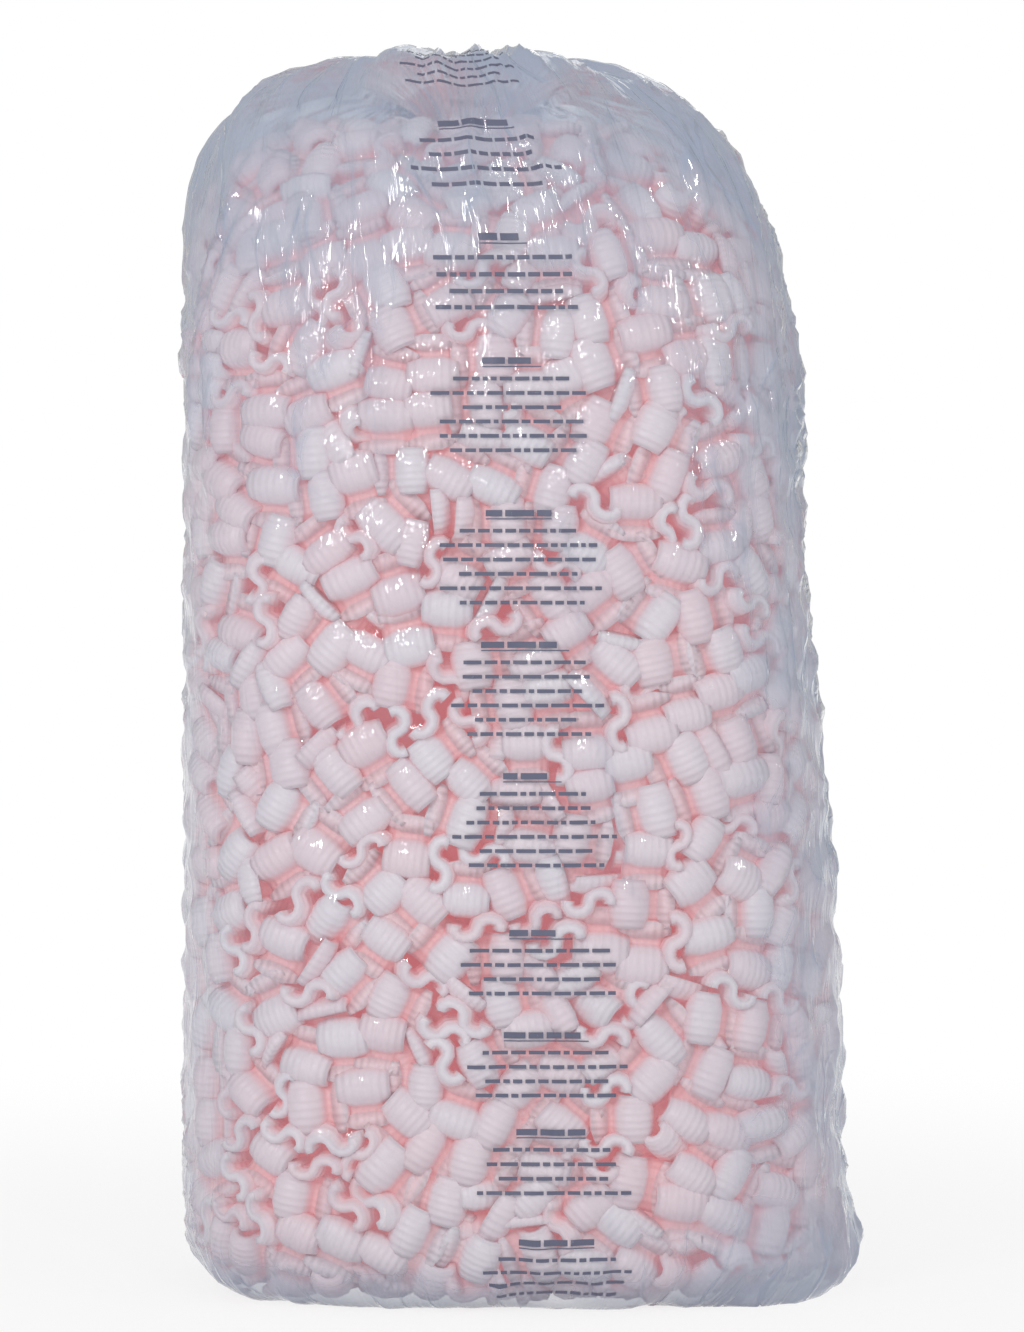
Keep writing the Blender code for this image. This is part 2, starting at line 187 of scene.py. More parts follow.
# Balls further out than this share of the form are pressed outwards, until nearly the last step.
PRESS = 0.7 * MM
PRESSED_SHARE = 0.84
PRESS_UNTIL = 0.9
# These peanuts are turned on edge: one side of them is pushed in and the other out.
EDGE_ON_SHARE = 0.20
EDGE_ON_PUSHES = (-0.9, 1.5)
PACK_SEED = 5


# %% A closed surface as a formula: under 1 inside, over 1 outside
def form_share(points, drop, inset):
    """How far out each point lies on the way from its level's middle to the bag's own outline."""
    x, y, z = points.T
    right, left, face = half_widths(z, drop, inset)
    power, middle_x, middle_y, _ = level_form(z, drop)
    across = np.where(x > middle_x, right - middle_x, left + middle_x)
    deep = np.where(y > middle_y, face - middle_y, face + middle_y)
    across, deep = np.maximum(across, MM), np.maximum(deep, MM)
    total = (np.abs(x - middle_x) / across) ** power + (np.abs(y - middle_y) / deep) ** power
    return total ** (1.0 / power)


def form_slope(points, drop, inset):
    """Which way, and how fast, each point would leave the form."""
    apart = 0.5 * MM
    return np.stack([
        form_share(points + apart * axis, drop, inset) - form_share(points - apart * axis, drop, inset)
        for axis in np.eye(3)
    ], axis=1) / (2 * apart)


def step_to_form(points, drop, inset, keep_inside):
    """The short way back to the surface for each point on its wrong side."""
    share = form_share(points, drop, inset)
    slope = form_slope(points, drop, inset)
    steepness = np.maximum((slope**2).sum(axis=1), 1.0)
    wrong = np.maximum(share - 1.0, 0.0) if keep_inside else np.minimum(share - 1.0, 0.0)
    step = -slope * (wrong / steepness)[:, None]
    length = np.linalg.norm(step, axis=1)
    return step * np.minimum(1.0, LONGEST_STEP / np.maximum(length, 1e-9))[:, None]


# %% Balls that touch
def touching_pairs(points, reach):
    """Pairs of points nearer to each other than reach, found by sorting them into cubes."""
    cube = np.floor(points / reach).astype(np.int64)
    cube -= cube.min(axis=0) - 1
    size = cube.max(axis=0) + 2
    key = (cube[:, 0] * size[1] + cube[:, 1]) * size[2] + cube[:, 2]
    order = np.argsort(key, kind="stable")
    ordered = key[order]
    firsts, seconds = [], []
    steps = [(a, b, c) for a in (-1, 0, 1) for b in (-1, 0, 1) for c in (-1, 0, 1)]
    for a, b, c in steps[: len(steps) // 2 + 1]:
        shift = (a * size[1] + b) * size[2] + c
        start = np.searchsorted(ordered, ordered + shift, "left")
        count = np.searchsorted(ordered, ordered + shift, "right") - start
        near = np.repeat(np.arange(len(key)), count)
        other = np.arange(count.sum()) - np.repeat(np.cumsum(count) - count, count) + np.repeat(start, count)
        keep = other > near if shift == 0 else np.ones(len(near), bool)
        firsts.append(order[near[keep]])
        seconds.append(order[other[keep]])
    first, second = np.concatenate(firsts), np.concatenate(seconds)
    close = ((points[first] - points[second]) ** 2).sum(axis=1) < reach * reach
    return first[close], second[close]


def turned_to_fit(balls):
    """The place and turn of each peanut that fit its balls best."""
    middle = balls.mean(axis=1)
    spread = np.einsum("nki,kj->nij", balls - middle[:, None], BALL_PLACES)
    spread[:, 2, 2] += 1e-12
    left, _, right = np.linalg.svd(spread)
    flip = np.sign(np.linalg.det(left @ right))
    left[:, :, 2] *= flip[:, None]
    return middle, left @ right


# %% The loose peanuts of the top layer, as the solids have them
def strip_path(steps):
    """The middle line of the S, as points and unit normals in its own plane: an arch and then a trough."""
    radius = (PEANUT_LENGTH - STRIP_THICKNESS) / 4
    flatten = (PEANUT_HEIGHT - STRIP_THICKNESS) / (2 * radius)
    step = np.linspace(-1.0, 1.0, 2 * steps + 1)
    turned, side = np.abs(step) * CURL_SWEEP, np.sign(step)
    path = np.stack([side * radius * (1 - np.cos(turned)), -side * radius * np.sin(turned) * flatten], axis=1)
    along = np.gradient(path, axis=0)
    along /= np.linalg.norm(along, axis=1)[:, None]
    return path, np.stack([-along[:, 1], along[:, 0]], axis=1)


def plain_corners():
    """Corners of the plain solid peanut, to find its pose by."""
    path, normal = strip_path(4)
    ends = [path + side * normal * STRIP_THICKNESS / 2 for side in (-1, 1)]
    flat = np.concatenate(ends)
    return np.array([(x, y * PEANUT_WIDTH / 2, z) for y in (-1, 1) for x, z in flat])


def loose_pose(node, corners):
    """Place and turn of a loose peanut's solid, from the axes along which its corners spread."""
    found = np.array([vertex.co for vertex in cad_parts[node].data.vertices], float)
    found = np.unique(found.round(6), axis=0)
    middle = found.mean(axis=0)
    _, own_axes = np.linalg.eigh(np.cov(corners.T))
    _, its_axes = np.linalg.eigh(np.cov(found.T))
    best = None
    for signs in ((1, 1), (1, -1), (-1, 1), (-1, -1)):
        axes = its_axes * np.array([signs[0], signs[1], 1.0])
        turn = axes @ own_axes.T
        turn = turn if np.linalg.det(turn) > 0 else (axes * np.array([1.0, 1.0, -1.0])) @ own_axes.T
        placed = corners @ turn.T + middle
        error = np.abs(placed[:, None] - found[None]).sum(axis=2).min(axis=1).mean()
        if best is None or error < best[0]:
            best = (error, middle, turn)
    return best


loose_nodes = sorted(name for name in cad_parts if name.startswith("loose_peanut"))
loose_poses = [loose_pose(name, plain_corners()) for name in loose_nodes]
loose_middles = np.array([middle for _, middle, _ in loose_poses])
loose_turns = np.array([turn for _, _, turn in loose_poses])
print(len(loose_nodes), "loose peanuts, worst fit", f"{max(pose[0] for pose in loose_poses) / MM:.2f} mm")


# %% Pour the peanuts
def random_turns(count, rng):
    """Turns that favour no direction."""
    made = rng.normal(size=(count, 4))
    made /= np.linalg.norm(made, axis=1)[:, None]
    return np.array([Quaternion(row).to_matrix() for row in made])


def poured_starts(rng):
    """Random places in the layer of peanuts that shows through the film."""
    span = np.array([BAG_WIDTH, BAG_DEPTH, LIP_Z])
    wanted = rng.uniform(size=(STARTS_TRIED, 3)) * span + np.array([-BAG_WIDTH / 2, -BAG_DEPTH / 2, 0.0])
    outer = form_share(wanted, HEADSPACE, BALL_RADIUS) < 1.0
    inner = form_share(wanted, HEADSPACE + LAYER_DEPTH, LAYER_DEPTH) > 1.0
    above = wanted[:, 2] > FLOOR_GAP + BALL_RADIUS
    top = wanted[:, 2] < FILL_TOP - BALL_RADIUS
    layer = wanted[outer & (inner | (wanted[:, 2] < LAYER_DEPTH)) & above & top]
    litres = np.prod(span) * 1000 * len(layer) / len(wanted)
    count = int(litres * PEANUTS_PER_LITRE)
    print(f"the layer holds {litres:.1f} litres and {count} peanuts")
    return layer[:count]


def pour():
    """Peanuts that fill the layer, each with its place and its turn."""
    rng = np.random.default_rng(PACK_SEED)
    middles = poured_starts(rng)
    turns = random_turns(len(middles), rng)
    fixed = (loose_middles[:, None] + np.einsum("nij,kj->nki", loose_turns, BALL_PLACES)).reshape(-1, 3)
    owner = np.repeat(np.arange(len(middles) + len(loose_middles)), len(BALL_PLACES))
    moving = len(middles) * len(BALL_PLACES)
    edge_on = rng.uniform(size=len(middles)) < EDGE_ON_SHARE
    edge_pushes = np.where(BALL_PLACES[:, 1] > 0, EDGE_ON_PUSHES[1], EDGE_ON_PUSHES[0])
    pushes = np.where(edge_on[:, None], edge_pushes[None], 1.0).reshape(-1)
    for step in range(SOLVER_STEPS):
        grown = min(1.0, START_SIZE + GROWTH * step / (GROWN_BY * SOLVER_STEPS))
        radius = BALL_RADIUS * grown
        balls = (middles[:, None] + np.einsum("nij,kj->nki", turns, BALL_PLACES * grown)).reshape(-1, 3)
        both = np.concatenate([balls, fixed])
        first, second = touching_pairs(both, 2 * radius)
        apart = owner[first] != owner[second]
        first, second = first[apart], second[apart]
        between = both[first] - both[second]
        distance = np.maximum(np.linalg.norm(between, axis=1), 1e-6)
        push = between * ((2 * radius - distance) / distance * 0.5)[:, None]
        ends, pushes_away = np.concatenate([first, second]), np.concatenate([push, -push])
        touches = np.bincount(ends, minlength=len(both))
        shift = np.stack([np.bincount(ends, along, len(both)) for along in pushes_away.T], axis=1)
        balls += (shift / np.maximum(touches, 1.0)[:, None] * OVERPUSH)[:moving]
        if step < PRESS_UNTIL * SOLVER_STEPS:
            outward = form_slope(balls, HEADSPACE, FILL_GAP)
            outward /= np.linalg.norm(outward, axis=1)[:, None]
            near_film = form_share(balls, HEADSPACE, FILL_GAP) > PRESSED_SHARE
            balls += outward * (PRESS * pushes * near_film)[:, None]
        balls += step_to_form(balls, HEADSPACE + radius, FILL_GAP + radius, keep_inside=True)
        core_inset = LAYER_DEPTH + FILL_GAP - radius
        out_of_core = step_to_form(balls, HEADSPACE + LAYER_DEPTH, core_inset, keep_inside=False)
        balls += out_of_core * (balls[:, 2] > LAYER_DEPTH)[:, None]
        balls[:, 2] = np.clip(balls[:, 2], FLOOR_GAP + radius, FILL_TOP - radius)
        middles, turns = turned_to_fit(balls.reshape(len(middles), -1, 3))
    return middles, turns


poured_middles, poured_turns = pour()
print(len(poured_middles), "peanuts poured, from", poured_middles.min(axis=0).round(3), "to",
      poured_middles.max(axis=0).round(3))

# %% [markdown]
# ## Materials
#
# Each finish starts from what the real one is. Colours are written as sRGB hex values, as a paint
# program shows them, and one function turns them to the linear values that the shader needs. One small
# function adds a node with its settings and links, for materials and for geometry alike, and the ones
# after it stand for the nodes that come back most often.

# %% Colours and nodes
def linear(hex_colour):
    """An sRGB hex colour as linear red, green, blue and full alpha."""
    channels = [int(hex_colour[k:k + 2], 16) / 255 for k in (1, 3, 5)]
    return (*[c / 12.92 if c <= 0.04045 else ((c + 0.055) / 1.055) ** 2.4 for c in channels], 1.0)


def add(tree, kind, links=None, **settings):
    """Adds one node with its settings. A link's value is a socket to join, or a plain value to set."""
    node = tree.nodes.new(kind)
    for name, value in settings.items():
        setattr(node, name, value)
    for socket, source in (links or {}).items():
        if isinstance(source, bpy.types.NodeSocket):
            tree.links.new(source, node.inputs[socket])
        else:
            node.inputs[socket].default_value = source
    return node


def maths(tree, operation, *values, **settings):
    """The result of a Math node."""
    return add(tree, "ShaderNodeMath", dict(enumerate(values)), operation=operation, **settings).outputs[0]


def blend(tree, factor, first, second):
    """The first colour where the factor is 0, and the second where it is 1."""
    mix = add(tree, "ShaderNodeMix", {"Factor": factor, "A": first, "B": second}, data_type="RGBA")
    return mix.outputs[2]


def rescaled(tree, value, from_min, from_max, to_min=0.0, to_max=1.0, **settings):
    """A value taken from one range to another, and kept inside it."""
    return add(tree, "ShaderNodeMapRange", {
        "Value": value, "From Min": from_min, "From Max": from_max, "To Min": to_min, "To Max": to_max,
    }, **settings).outputs[0]


def either(tree, factor, first, second):
    """The first shader where the factor is 0, and the second where it is 1."""
    return add(tree, "ShaderNodeMixShader", {0: factor, 1: first, 2: second}).outputs[0]


def empty_material(name):
    """A material with no nodes. Its glow is small, so the renderer needn't aim rays at it."""
    made = bpy.data.materials.new(name)
    made.use_nodes = True
    made.cycles.emission_sampling = "NONE"
    made.node_tree.nodes.clear()
    return made, made.node_tree


def with_surface(made, shader):
    add(made.node_tree, "ShaderNodeOutputMaterial", {"Surface": shader})
    return made


def plain_material(name, values):
    """A material that is the same all over."""
    made, tree = empty_material(name)
    return with_surface(made, add(tree, "ShaderNodeBsdfPrincipled", values).outputs[0])


# %% Expanded polystyrene foam
# Foam extruded from a ribbed die. It gives the eye a matt, nearly white pink with a soft shine on fine
# ribs. The coral that deepens in the gaps, and the glow there, are painted bounce light: they stand for
# light that has gone from one peanut to the next.
FOAM_PALE = "#e9e1e6"
FOAM_PINK = "#ecd6db"
# Painted bounce light: a coral colour and a glow that rise with depth into the gaps.
PAINTED_BOUNCE_CORAL = "#ecb4b3"
PAINTED_BOUNCE_GLOW = "#6c4547"
DEEP_PAINTED_BOUNCE_CORAL = "#e89795"
FOAM_ROUGHNESS = 0.36
DEEP_ROUGHNESS = 0.8
FOAM_IOR = 1.45
RIB_PITCH = 4.6 * MM
RIB_DEPTH = 0.5 * MM
RIB_STRENGTH = 0.42
BLACK, WHITE = (0.0, 0.0, 0.0, 1.0), (1.0, 1.0, 1.0, 1.0)


def foam_material():
    """Ribs along the strip, a tint of its own for each peanut, and painted bounce light by depth: a coral
    colour and a glow.
    """
    made, tree = empty_material("expanded polystyrene foam with painted bounce light")
    tint = add(tree, "ShaderNodeAttribute", attribute_name="tint").outputs["Fac"]
    depth = add(tree, "ShaderNodeAttribute", attribute_name="depth").outputs["Fac"]
    place = add(tree, "ShaderNodeUVMap", uv_map="strip").outputs["UV"]
    across = add(tree, "ShaderNodeSeparateXYZ", {0: place}).outputs["Y"]
    wave = maths(tree, "COSINE", maths(tree, "MULTIPLY", across, math.tau / RIB_PITCH))
    ribs = add(tree, "ShaderNodeBump", {"Height": wave, "Strength": RIB_STRENGTH, "Distance": RIB_DEPTH})
    colour = blend(tree, depth, blend(tree, tint, linear(FOAM_PALE), linear(FOAM_PINK)), linear(PAINTED_BOUNCE_CORAL))
    # Painted glow, deepest in the gaps, for light bounced between the peanuts.
    glow = blend(tree, depth, BLACK, linear(PAINTED_BOUNCE_GLOW))
    shader = add(tree, "ShaderNodeBsdfPrincipled", {
        "Base Color": colour, "Roughness": FOAM_ROUGHNESS, "IOR": FOAM_IOR, "Normal": ribs.outputs[0],
        "Emission Color": glow, "Emission Strength": 1.0,
    })
    return with_surface(made, shader.outputs[0])


# The same foam too deep to be seen by itself: a plain painted coral with a painted glow, for bounced
# light, that closes the gaps between the peanuts.
foam = foam_material()
deep_foam_painted_bounce = plain_material("foam deep in the fill, in painted bounce light", {
    "Base Color": linear(DEEP_PAINTED_BOUNCE_CORAL), "Roughness": DEEP_ROUGHNESS,
    "Emission Color": linear(PAINTED_BOUNCE_GLOW), "Emission Strength": 1.0,
})

# %% [markdown]
# ## The peanuts
#
# A peanut is a ribbed strip that curls into an S as the foam expands at the die. One is made here by
# moving a rounded section along the S, and Geometry Nodes copy it to every place that the pouring
# found. It has few faces, because two thousand copies of it are made. Its ribs run along the S, so they
# are drawn on its own UV map: one direction along the strip and one across it, in metres.

# %% One peanut
SECTION_POINTS = 8
SECTION_SQUARENESS = 3.4
# The strip is thicker than the plain solid's, because its ribs stand out from it.
PUFF = 1.18
STRIP_STEPS = 6


def mesh_object(name, points, faces, finish=None):
    """A mesh in the scene, made of points and faces."""
    mesh = bpy.data.meshes.new(name)
    mesh.from_pydata(points, [], faces)
    if finish:
        mesh.materials.append(finish)
    made = bpy.data.objects.new(name, mesh)
    bpy.context.scene.collection.objects.link(made)
    return made


def section():
    """A flat oval, as wide as the peanut and as thick as its strip: offsets across and through."""
    angle = (np.arange(SECTION_POINTS) + 0.5) * 2 * math.pi / SECTION_POINTS
    c, s = np.cos(angle), np.sin(angle)
    size = (np.abs(c) ** SECTION_SQUARENESS + np.abs(s) ** SECTION_SQUARENESS) ** (-1 / SECTION_SQUARENESS)
    across, through = c * size, s * size
    return across / across.max() * PEANUT_WIDTH / 2, through / through.max() * STRIP_THICKNESS * PUFF / 2


def peanut_object(name, steps):
    """The master peanut: its rounded section moved along the S, with a closed end at both tips."""
    path, normal = strip_path(steps)
    across, through = section()
    lengths = np.concatenate([[0.0], np.cumsum(np.linalg.norm(np.diff(path, axis=0), axis=1))])
    rows, count = len(path), len(across)
    points = [(p[0] + n[0] * t, a, p[1] + n[1] * t)
              for p, n in zip(path, normal) for a, t in zip(across, through)]
    faces, corners = [], []
    for row in range(rows - 1):
        for k in range(count):
            after, above = (k + 1) % count, (row + 1) * count
            faces.append((row * count + k, row * count + after, above + after, above + k))
            corners.append([(lengths[row], across[k]), (lengths[row], across[after]),
                            (lengths[row + 1], across[after]), (lengths[row + 1], across[k])])
    for row, turned in ((0, -1), (rows - 1, 1)):
        ring = [row * count + k for k in range(count)][::turned]
        faces.append(tuple(ring))
        corners.append([(lengths[row], across[index % count]) for index in ring])
    made = mesh_object(name, points, faces)
    layer = made.data.uv_layers.new(name="strip")
    layer.data.foreach_set("uv", np.array([uv for face in corners for uv in face], np.float32).ravel())
    made.data.shade_smooth()
    made.hide_render = True
    return made


fine_peanut = peanut_object("fine_peanut", STRIP_STEPS)
print("a peanut has", len(fine_peanut.data.polygons), "faces")


# %% Copies of it, by Geometry Nodes
def socket_of(tree, name):
    """The identifier of a named input of the tree."""
    return next(item.identifier for item in tree.interface.items_tree if item.name == name)


def copies_tree():
    """Geometry Nodes: a copy of one object at every point, turned and sized as the point says."""
    tree = bpy.data.node_groups.new("copies_on_points", "GeometryNodeTree")
    inputs = {"Points": "Geometry", "Shape": "Object", "Finish": "Material", "Smallest": "Float",
              "Largest": "Float", "Seed": "Int"}
    for name, kind in inputs.items():
        tree.interface.new_socket(name=name, in_out="INPUT", socket_type="NodeSocket" + kind)
    tree.interface.new_socket(name="Copies", in_out="OUTPUT", socket_type="NodeSocketGeometry")
    given = add(tree, "NodeGroupInput").outputs
    shape = add(tree, "GeometryNodeObjectInfo", {"Object": given["Shape"]}).outputs["Geometry"]
    turn = add(tree, "GeometryNodeInputNamedAttribute", {"Name": "turn"}, data_type="QUATERNION")
    size = add(tree, "FunctionNodeRandomValue", {
        0: given["Smallest"], 1: given["Largest"], "Seed": given["Seed"]}, data_type="FLOAT_VECTOR")
    placed = add(tree, "GeometryNodeInstanceOnPoints", {
        "Points": given["Points"], "Instance": shape, "Rotation": turn.outputs["Attribute"],
        "Scale": size.outputs["Value"]})
    plain = add(tree, "GeometryNodeRealizeInstances", {"Geometry": placed.outputs["Instances"]})
    dressed = add(tree, "GeometryNodeSetMaterial", {
        "Geometry": plain.outputs[0], "Material": given["Finish"]})
    add(tree, "NodeGroupOutput", {"Copies": dressed.outputs[0]})
    return tree


copies = copies_tree()
PACKED_SIZES = (0.96, 1.17)
LOOSE_SIZES = (1.0, 1.0)


def peanut_copies(name, shape, middles, turns, tints, sizes):
    """One piece: a peanut at every place. The modifier's result becomes a plain mesh."""
    made = mesh_object(name, [tuple(row) for row in middles], [])
    turned = np.array([Matrix(row).to_quaternion() for row in turns], np.float32)
    stored = made.data.attributes
    stored.new("turn", "QUATERNION", "POINT").data.foreach_set("value", turned.ravel())
    stored.new("tint", "FLOAT", "POINT").data.foreach_set("value", np.array(tints, np.float32))
    modifier = made.modifiers.new("copies", "NODES")
    modifier.node_group = copies
    settings = {"Shape": shape, "Finish": foam, "Smallest": sizes[0], "Largest": sizes[1], "Seed": PACK_SEED}
    for socket, value in settings.items():
        modifier[socket_of(copies, socket)] = value
    made.update_tag()
    bpy.context.view_layer.update()
    plain = bpy.data.meshes.new_from_object(made.evaluated_get(bpy.context.evaluated_depsgraph_get()))
    plain.name = name
    made.modifiers.clear()
    made.data = plain
    print(name, len(middles), "peanuts,", len(plain.polygons), "faces")
    return made


rng = np.random.default_rng(PACK_SEED + 1)
in_front, on_left = poured_middles[:, 1] < 0.0, poured_middles[:, 0] < 0.0
quarters = {"front_left": in_front & on_left, "front_right": in_front & ~on_left,
            "back_left": ~in_front & on_left, "back_right": ~in_front & ~on_left}
peanut_pieces = [
    peanut_copies("packed_peanuts_" + name, fine_peanut, poured_middles[chosen], poured_turns[chosen],
                  rng.uniform(size=chosen.sum()), PACKED_SIZES)
    for name, chosen in quarters.items()]
peanuts_loose = peanut_copies("loose_peanuts", fine_peanut, loose_middles, loose_turns,
                              rng.uniform(size=len(loose_middles)), LOOSE_SIZES)

# %% [markdown]
# ## The film
#
# The bag is one sheet, sealed at the bottom and gathered at the neck. Its form comes from rings of
# points at chosen levels, as in the solid, with a smooth curve through each column of them. Then the
# sheet is laid on the peanuts, as a tight skin would lie, and raised in creases where the gathers pull.

# %% Rings of the film, from the flat base to the open end of the tail
FILM_COLUMNS = 320
FILM_STEP = 4.0 * MM
FLAT_WIDTH = 0.67
BASE_STEPS = (0, 30, 60, 90)
SIDE_ROWS = 8
SHOULDER_RINGS = (0.18, 0.34, 0.48, 0.60, 0.71, 0.80, 0.88, 0.95)
PLEAT_SIZES = (0.55, 1.0)


def outline(right, left, face, power, middle=(0.0, 0.0)):
    """A rounded rectangle seen from its middle, its points evenly spaced in each quarter."""
    points = []
    per_quarter = FILM_COLUMNS // 4
    for quarter in range(4):
        angle = np.radians(np.linspace(90.0 * quarter, 90.0 * quarter + 90.0, 91))
        cosine, sine = np.cos(angle), np.sin(angle)
        across = right - middle[0] if quarter in (0, 3) else left + middle[0]
        deep = face - middle[1] if quarter in (0, 1) else face + middle[1]
        x = across * np.sign(cosine) * np.abs(cosine) ** (2.0 / power)
        y = deep * np.sign(sine) * np.abs(sine) ** (2.0 / power)
        along = np.concatenate(([0.0], np.cumsum(np.hypot(np.diff(x), np.diff(y)))))
        wanted = along[-1] * np.arange(per_quarter) / per_quarter
        points.append(np.stack([np.interp(wanted, along, x), np.interp(wanted, along, y)], axis=1))
    return np.concatenate(points)


def pushed_out(flat, heights):
    """An outline pushed out from its middle."""
    reach = np.linalg.norm(flat, axis=1)
    return flat * ((reach + heights) / reach)[:, None]


def placed(flat, centre, tilt=0.0):
    """A flat outline at its centre, with its plane turned back about X by tilt."""
    x, y = flat.T
    return np.stack([x, y * math.cos(tilt), -y * math.sin(tilt)], axis=1) + np.array(centre)


def pleat_heights():
    """Height of the film's large pleats at each column: one ridge to a pleat, no two quite alike."""
    draw = random.Random(FORM_SEED)
    scales = np.array([draw.uniform(*PLEAT_SIZES) for _ in range(PLEATS)])
    turn = np.arange(FILM_COLUMNS) * PLEATS / FILM_COLUMNS
    ridges = 0.5 + 0.5 * np.cos(2 * math.pi * turn)
    return PLEAT_HEIGHT * ridges * scales[np.rint(turn).astype(int) % PLEATS]


def ear_reach():
    """How far the corners of the bottom seal stand out: an ear at each end of the seal."""
    number = np.arange(FILM_COLUMNS) * EAR_COLUMNS / FILM_COLUMNS
    right_end, left_end = np.minimum(number, EAR_COLUMNS - number), np.abs(number - EAR_COLUMNS / 2)
    return RIGHT_EAR / (1 + right_end**2) + LEFT_EAR / (1 + left_end**2)


def film_rings():
    """The film's outlines, one above the other, from the base to the open end of the tail."""
    heights = pleat_heights()
    rings = []
    for degrees in BASE_STEPS:
        z = BOTTOM_RADIUS * (1.0 - math.cos(math.radians(degrees)))
        rise = heights * BOTTOM_PLEAT_HEIGHT / PLEAT_HEIGHT + ear_reach()
        push = math.sin(math.radians(2 * degrees)) * rise
        rings.append(placed(pushed_out(outline(*half_widths(z), BODY_POWER), push), (0.0, 0.0, z)))
    side_top = LIP_Z - RIGHT_SHOULDER
    levels = [BOTTOM_RADIUS + (side_top - BOTTOM_RADIUS) * k / SIDE_ROWS for k in range(1, SIDE_ROWS + 1)]
    for z in levels + [side_top + RIGHT_SHOULDER * share for share in SHOULDER_RINGS]:
        power, middle_x, middle_y, near_top = level_form(z)
        flat = outline(*half_widths(z), power, (middle_x, middle_y))
        flat = pushed_out(flat, heights * near_top - CRUMPLE / 2)
        rings.append(placed(flat, (middle_x, middle_y, z), LIP_TILT * near_top))
    return rings + neck_rings(heights) + tail_rings(heights)


def neck_rings(heights):
    """The outlines from the lip down into the dimple and up through the band."""
    neck_z = LIP_Z - DIMPLE_DEPTH
    inward, downward, upright = DIMPLE_BEND
    steps = (
        (LIP_RADIUS, LIP_Z, LIP_TILT, 0.0),
        (LIP_RADIUS * inward, LIP_Z - DIMPLE_DEPTH * downward, LIP_TILT * upright, DIMPLE_PLEATS),
        (NECK_RADIUS + DIMPLE_MARGIN, neck_z, 0.0, NECK_PLEATS),
        (NECK_RADIUS, neck_z + DIMPLE_MARGIN / 2, 0.0, 0.0),
        (NECK_RADIUS, neck_z + DIMPLE_MARGIN / 2 + NECK_LENGTH, 0.0, 0.0),
    )
    rings = []
    for radius, z, tilt, share in steps:
        flat = pushed_out(outline(radius, radius, radius, 2.0), heights * share)
        rings.append(placed(flat, (NECK_X, NECK_Y, z), tilt))
    return rings


def tail_rings(heights):
    """The outlines of the loose tail, which turns over backwards and flattens."""
    start = LIP_Z - DIMPLE_DEPTH + DIMPLE_MARGIN / 2 + NECK_LENGTH
    rings = []
    for share, rise, tilt in TAIL_BENDS:
        wide = NECK_RADIUS + (TAIL_HALF_WIDTH - NECK_RADIUS) * math.sin(share * math.pi / 2)
        thin = NECK_RADIUS + (TAIL_HALF_THICKNESS - NECK_RADIUS) * min(1.0, share / TAIL_OPENING)
        flat = outline(wide, wide, thin, 2.0)
        flat[:, 1] += heights * np.where(flat[:, 1] > 0, TAIL_TOP_PLEATS, TAIL_UNDER_PLEATS)
        rings.append(placed(flat, (NECK_X, NECK_Y + TAIL_LENGTH * share, start + rise), math.radians(tilt)))
    return rings


# %% A smooth sheet through the rings
def through_rings(rings):
    """Rows of points, a film step apart, on smooth curves through the rings, from the base's rim up."""
    rings = np.array(rings)
    gaps = np.linalg.norm(np.diff(rings, axis=0), axis=2).mean(axis=1)
    along = np.concatenate([[0.0], np.cumsum(gaps)])
    slopes = np.gradient(rings, along, axis=0)
    wanted = np.linspace(0.0, along[-1], int(along[-1] / FILM_STEP))
    lower = np.clip(np.searchsorted(along, wanted, "right") - 1, 0, len(rings) - 2)
    width = gaps[lower]
    t = ((wanted - along[lower]) / width)[:, None, None]
    width = width[:, None, None]
    start, end = rings[lower], rings[lower + 1]
    curve = (2 * t**3 - 3 * t**2 + 1) * start + (3 * t**2 - 2 * t**3) * end
    curve += width * ((t**3 - 2 * t**2 + t) * slopes[lower] + (t**3 - t**2) * slopes[lower + 1])
    return curve, wanted


def base_rows(rim):
    """Rows from near the middle of the base to its rim."""
    count = int(BAG_DEPTH / 2 / (2 * FILM_STEP))
    return np.array([rim * (k + 1) / (count + 1) for k in range(count)])


rows, along = through_rings(film_rings())
rows = np.concatenate([base_rows(rows[0]), rows])
base_count = len(rows) - len(along)
print("the film is a grid of", rows.shape[0], "rows and", rows.shape[1], "columns")


# %% Directions on the sheet
def row_normals(grid):
    """The outward direction at every point of a closed-round grid."""
    around = np.roll(grid, -1, axis=1) - np.roll(grid, 1, axis=1)
    up = np.gradient(grid, axis=0)
    normal = np.cross(around, up)
    return normal / np.maximum(np.linalg.norm(normal, axis=2), 1e-12)[..., None]


def column_spacing(grid):
    """The distance between neighbouring columns, averaged over each row."""
    return np.linalg.norm(np.roll(grid, -1, axis=1) - grid, axis=2).mean(axis=1)


# %% Where the outermost peanuts stand under the film
OUTWARD_REACH = 14 * MM
INWARD_REACH = 60 * MM


def all_peanuts_tree():
    """Every peanut's faces in one tree, for ray casts."""
    points, faces = [], []
    for piece in (*peanut_pieces, peanuts_loose):
        offset = len(points)
        points += [vertex.co.copy() for vertex in piece.data.vertices]
        faces += [[offset + index for index in face.vertices] for face in piece.data.polygons]
    return BVHTree.FromPolygons(points, faces)


def contact_heights(grid, normals, tree):
    """How far out the nearest peanut stands under each point of the film, or far in where there is none."""
    found = np.full(grid.shape[:2], -INWARD_REACH)
    for row in range(base_count, len(grid)):
        for column in range(grid.shape[1]):
            normal = Vector(normals[row, column])
            start = Vector(grid[row, column]) + normal * OUTWARD_REACH
            distance = tree.ray_cast(start, -normal, OUTWARD_REACH + INWARD_REACH)[3]
            if distance is not None:
                found[row, column] = OUTWARD_REACH - distance
    return found


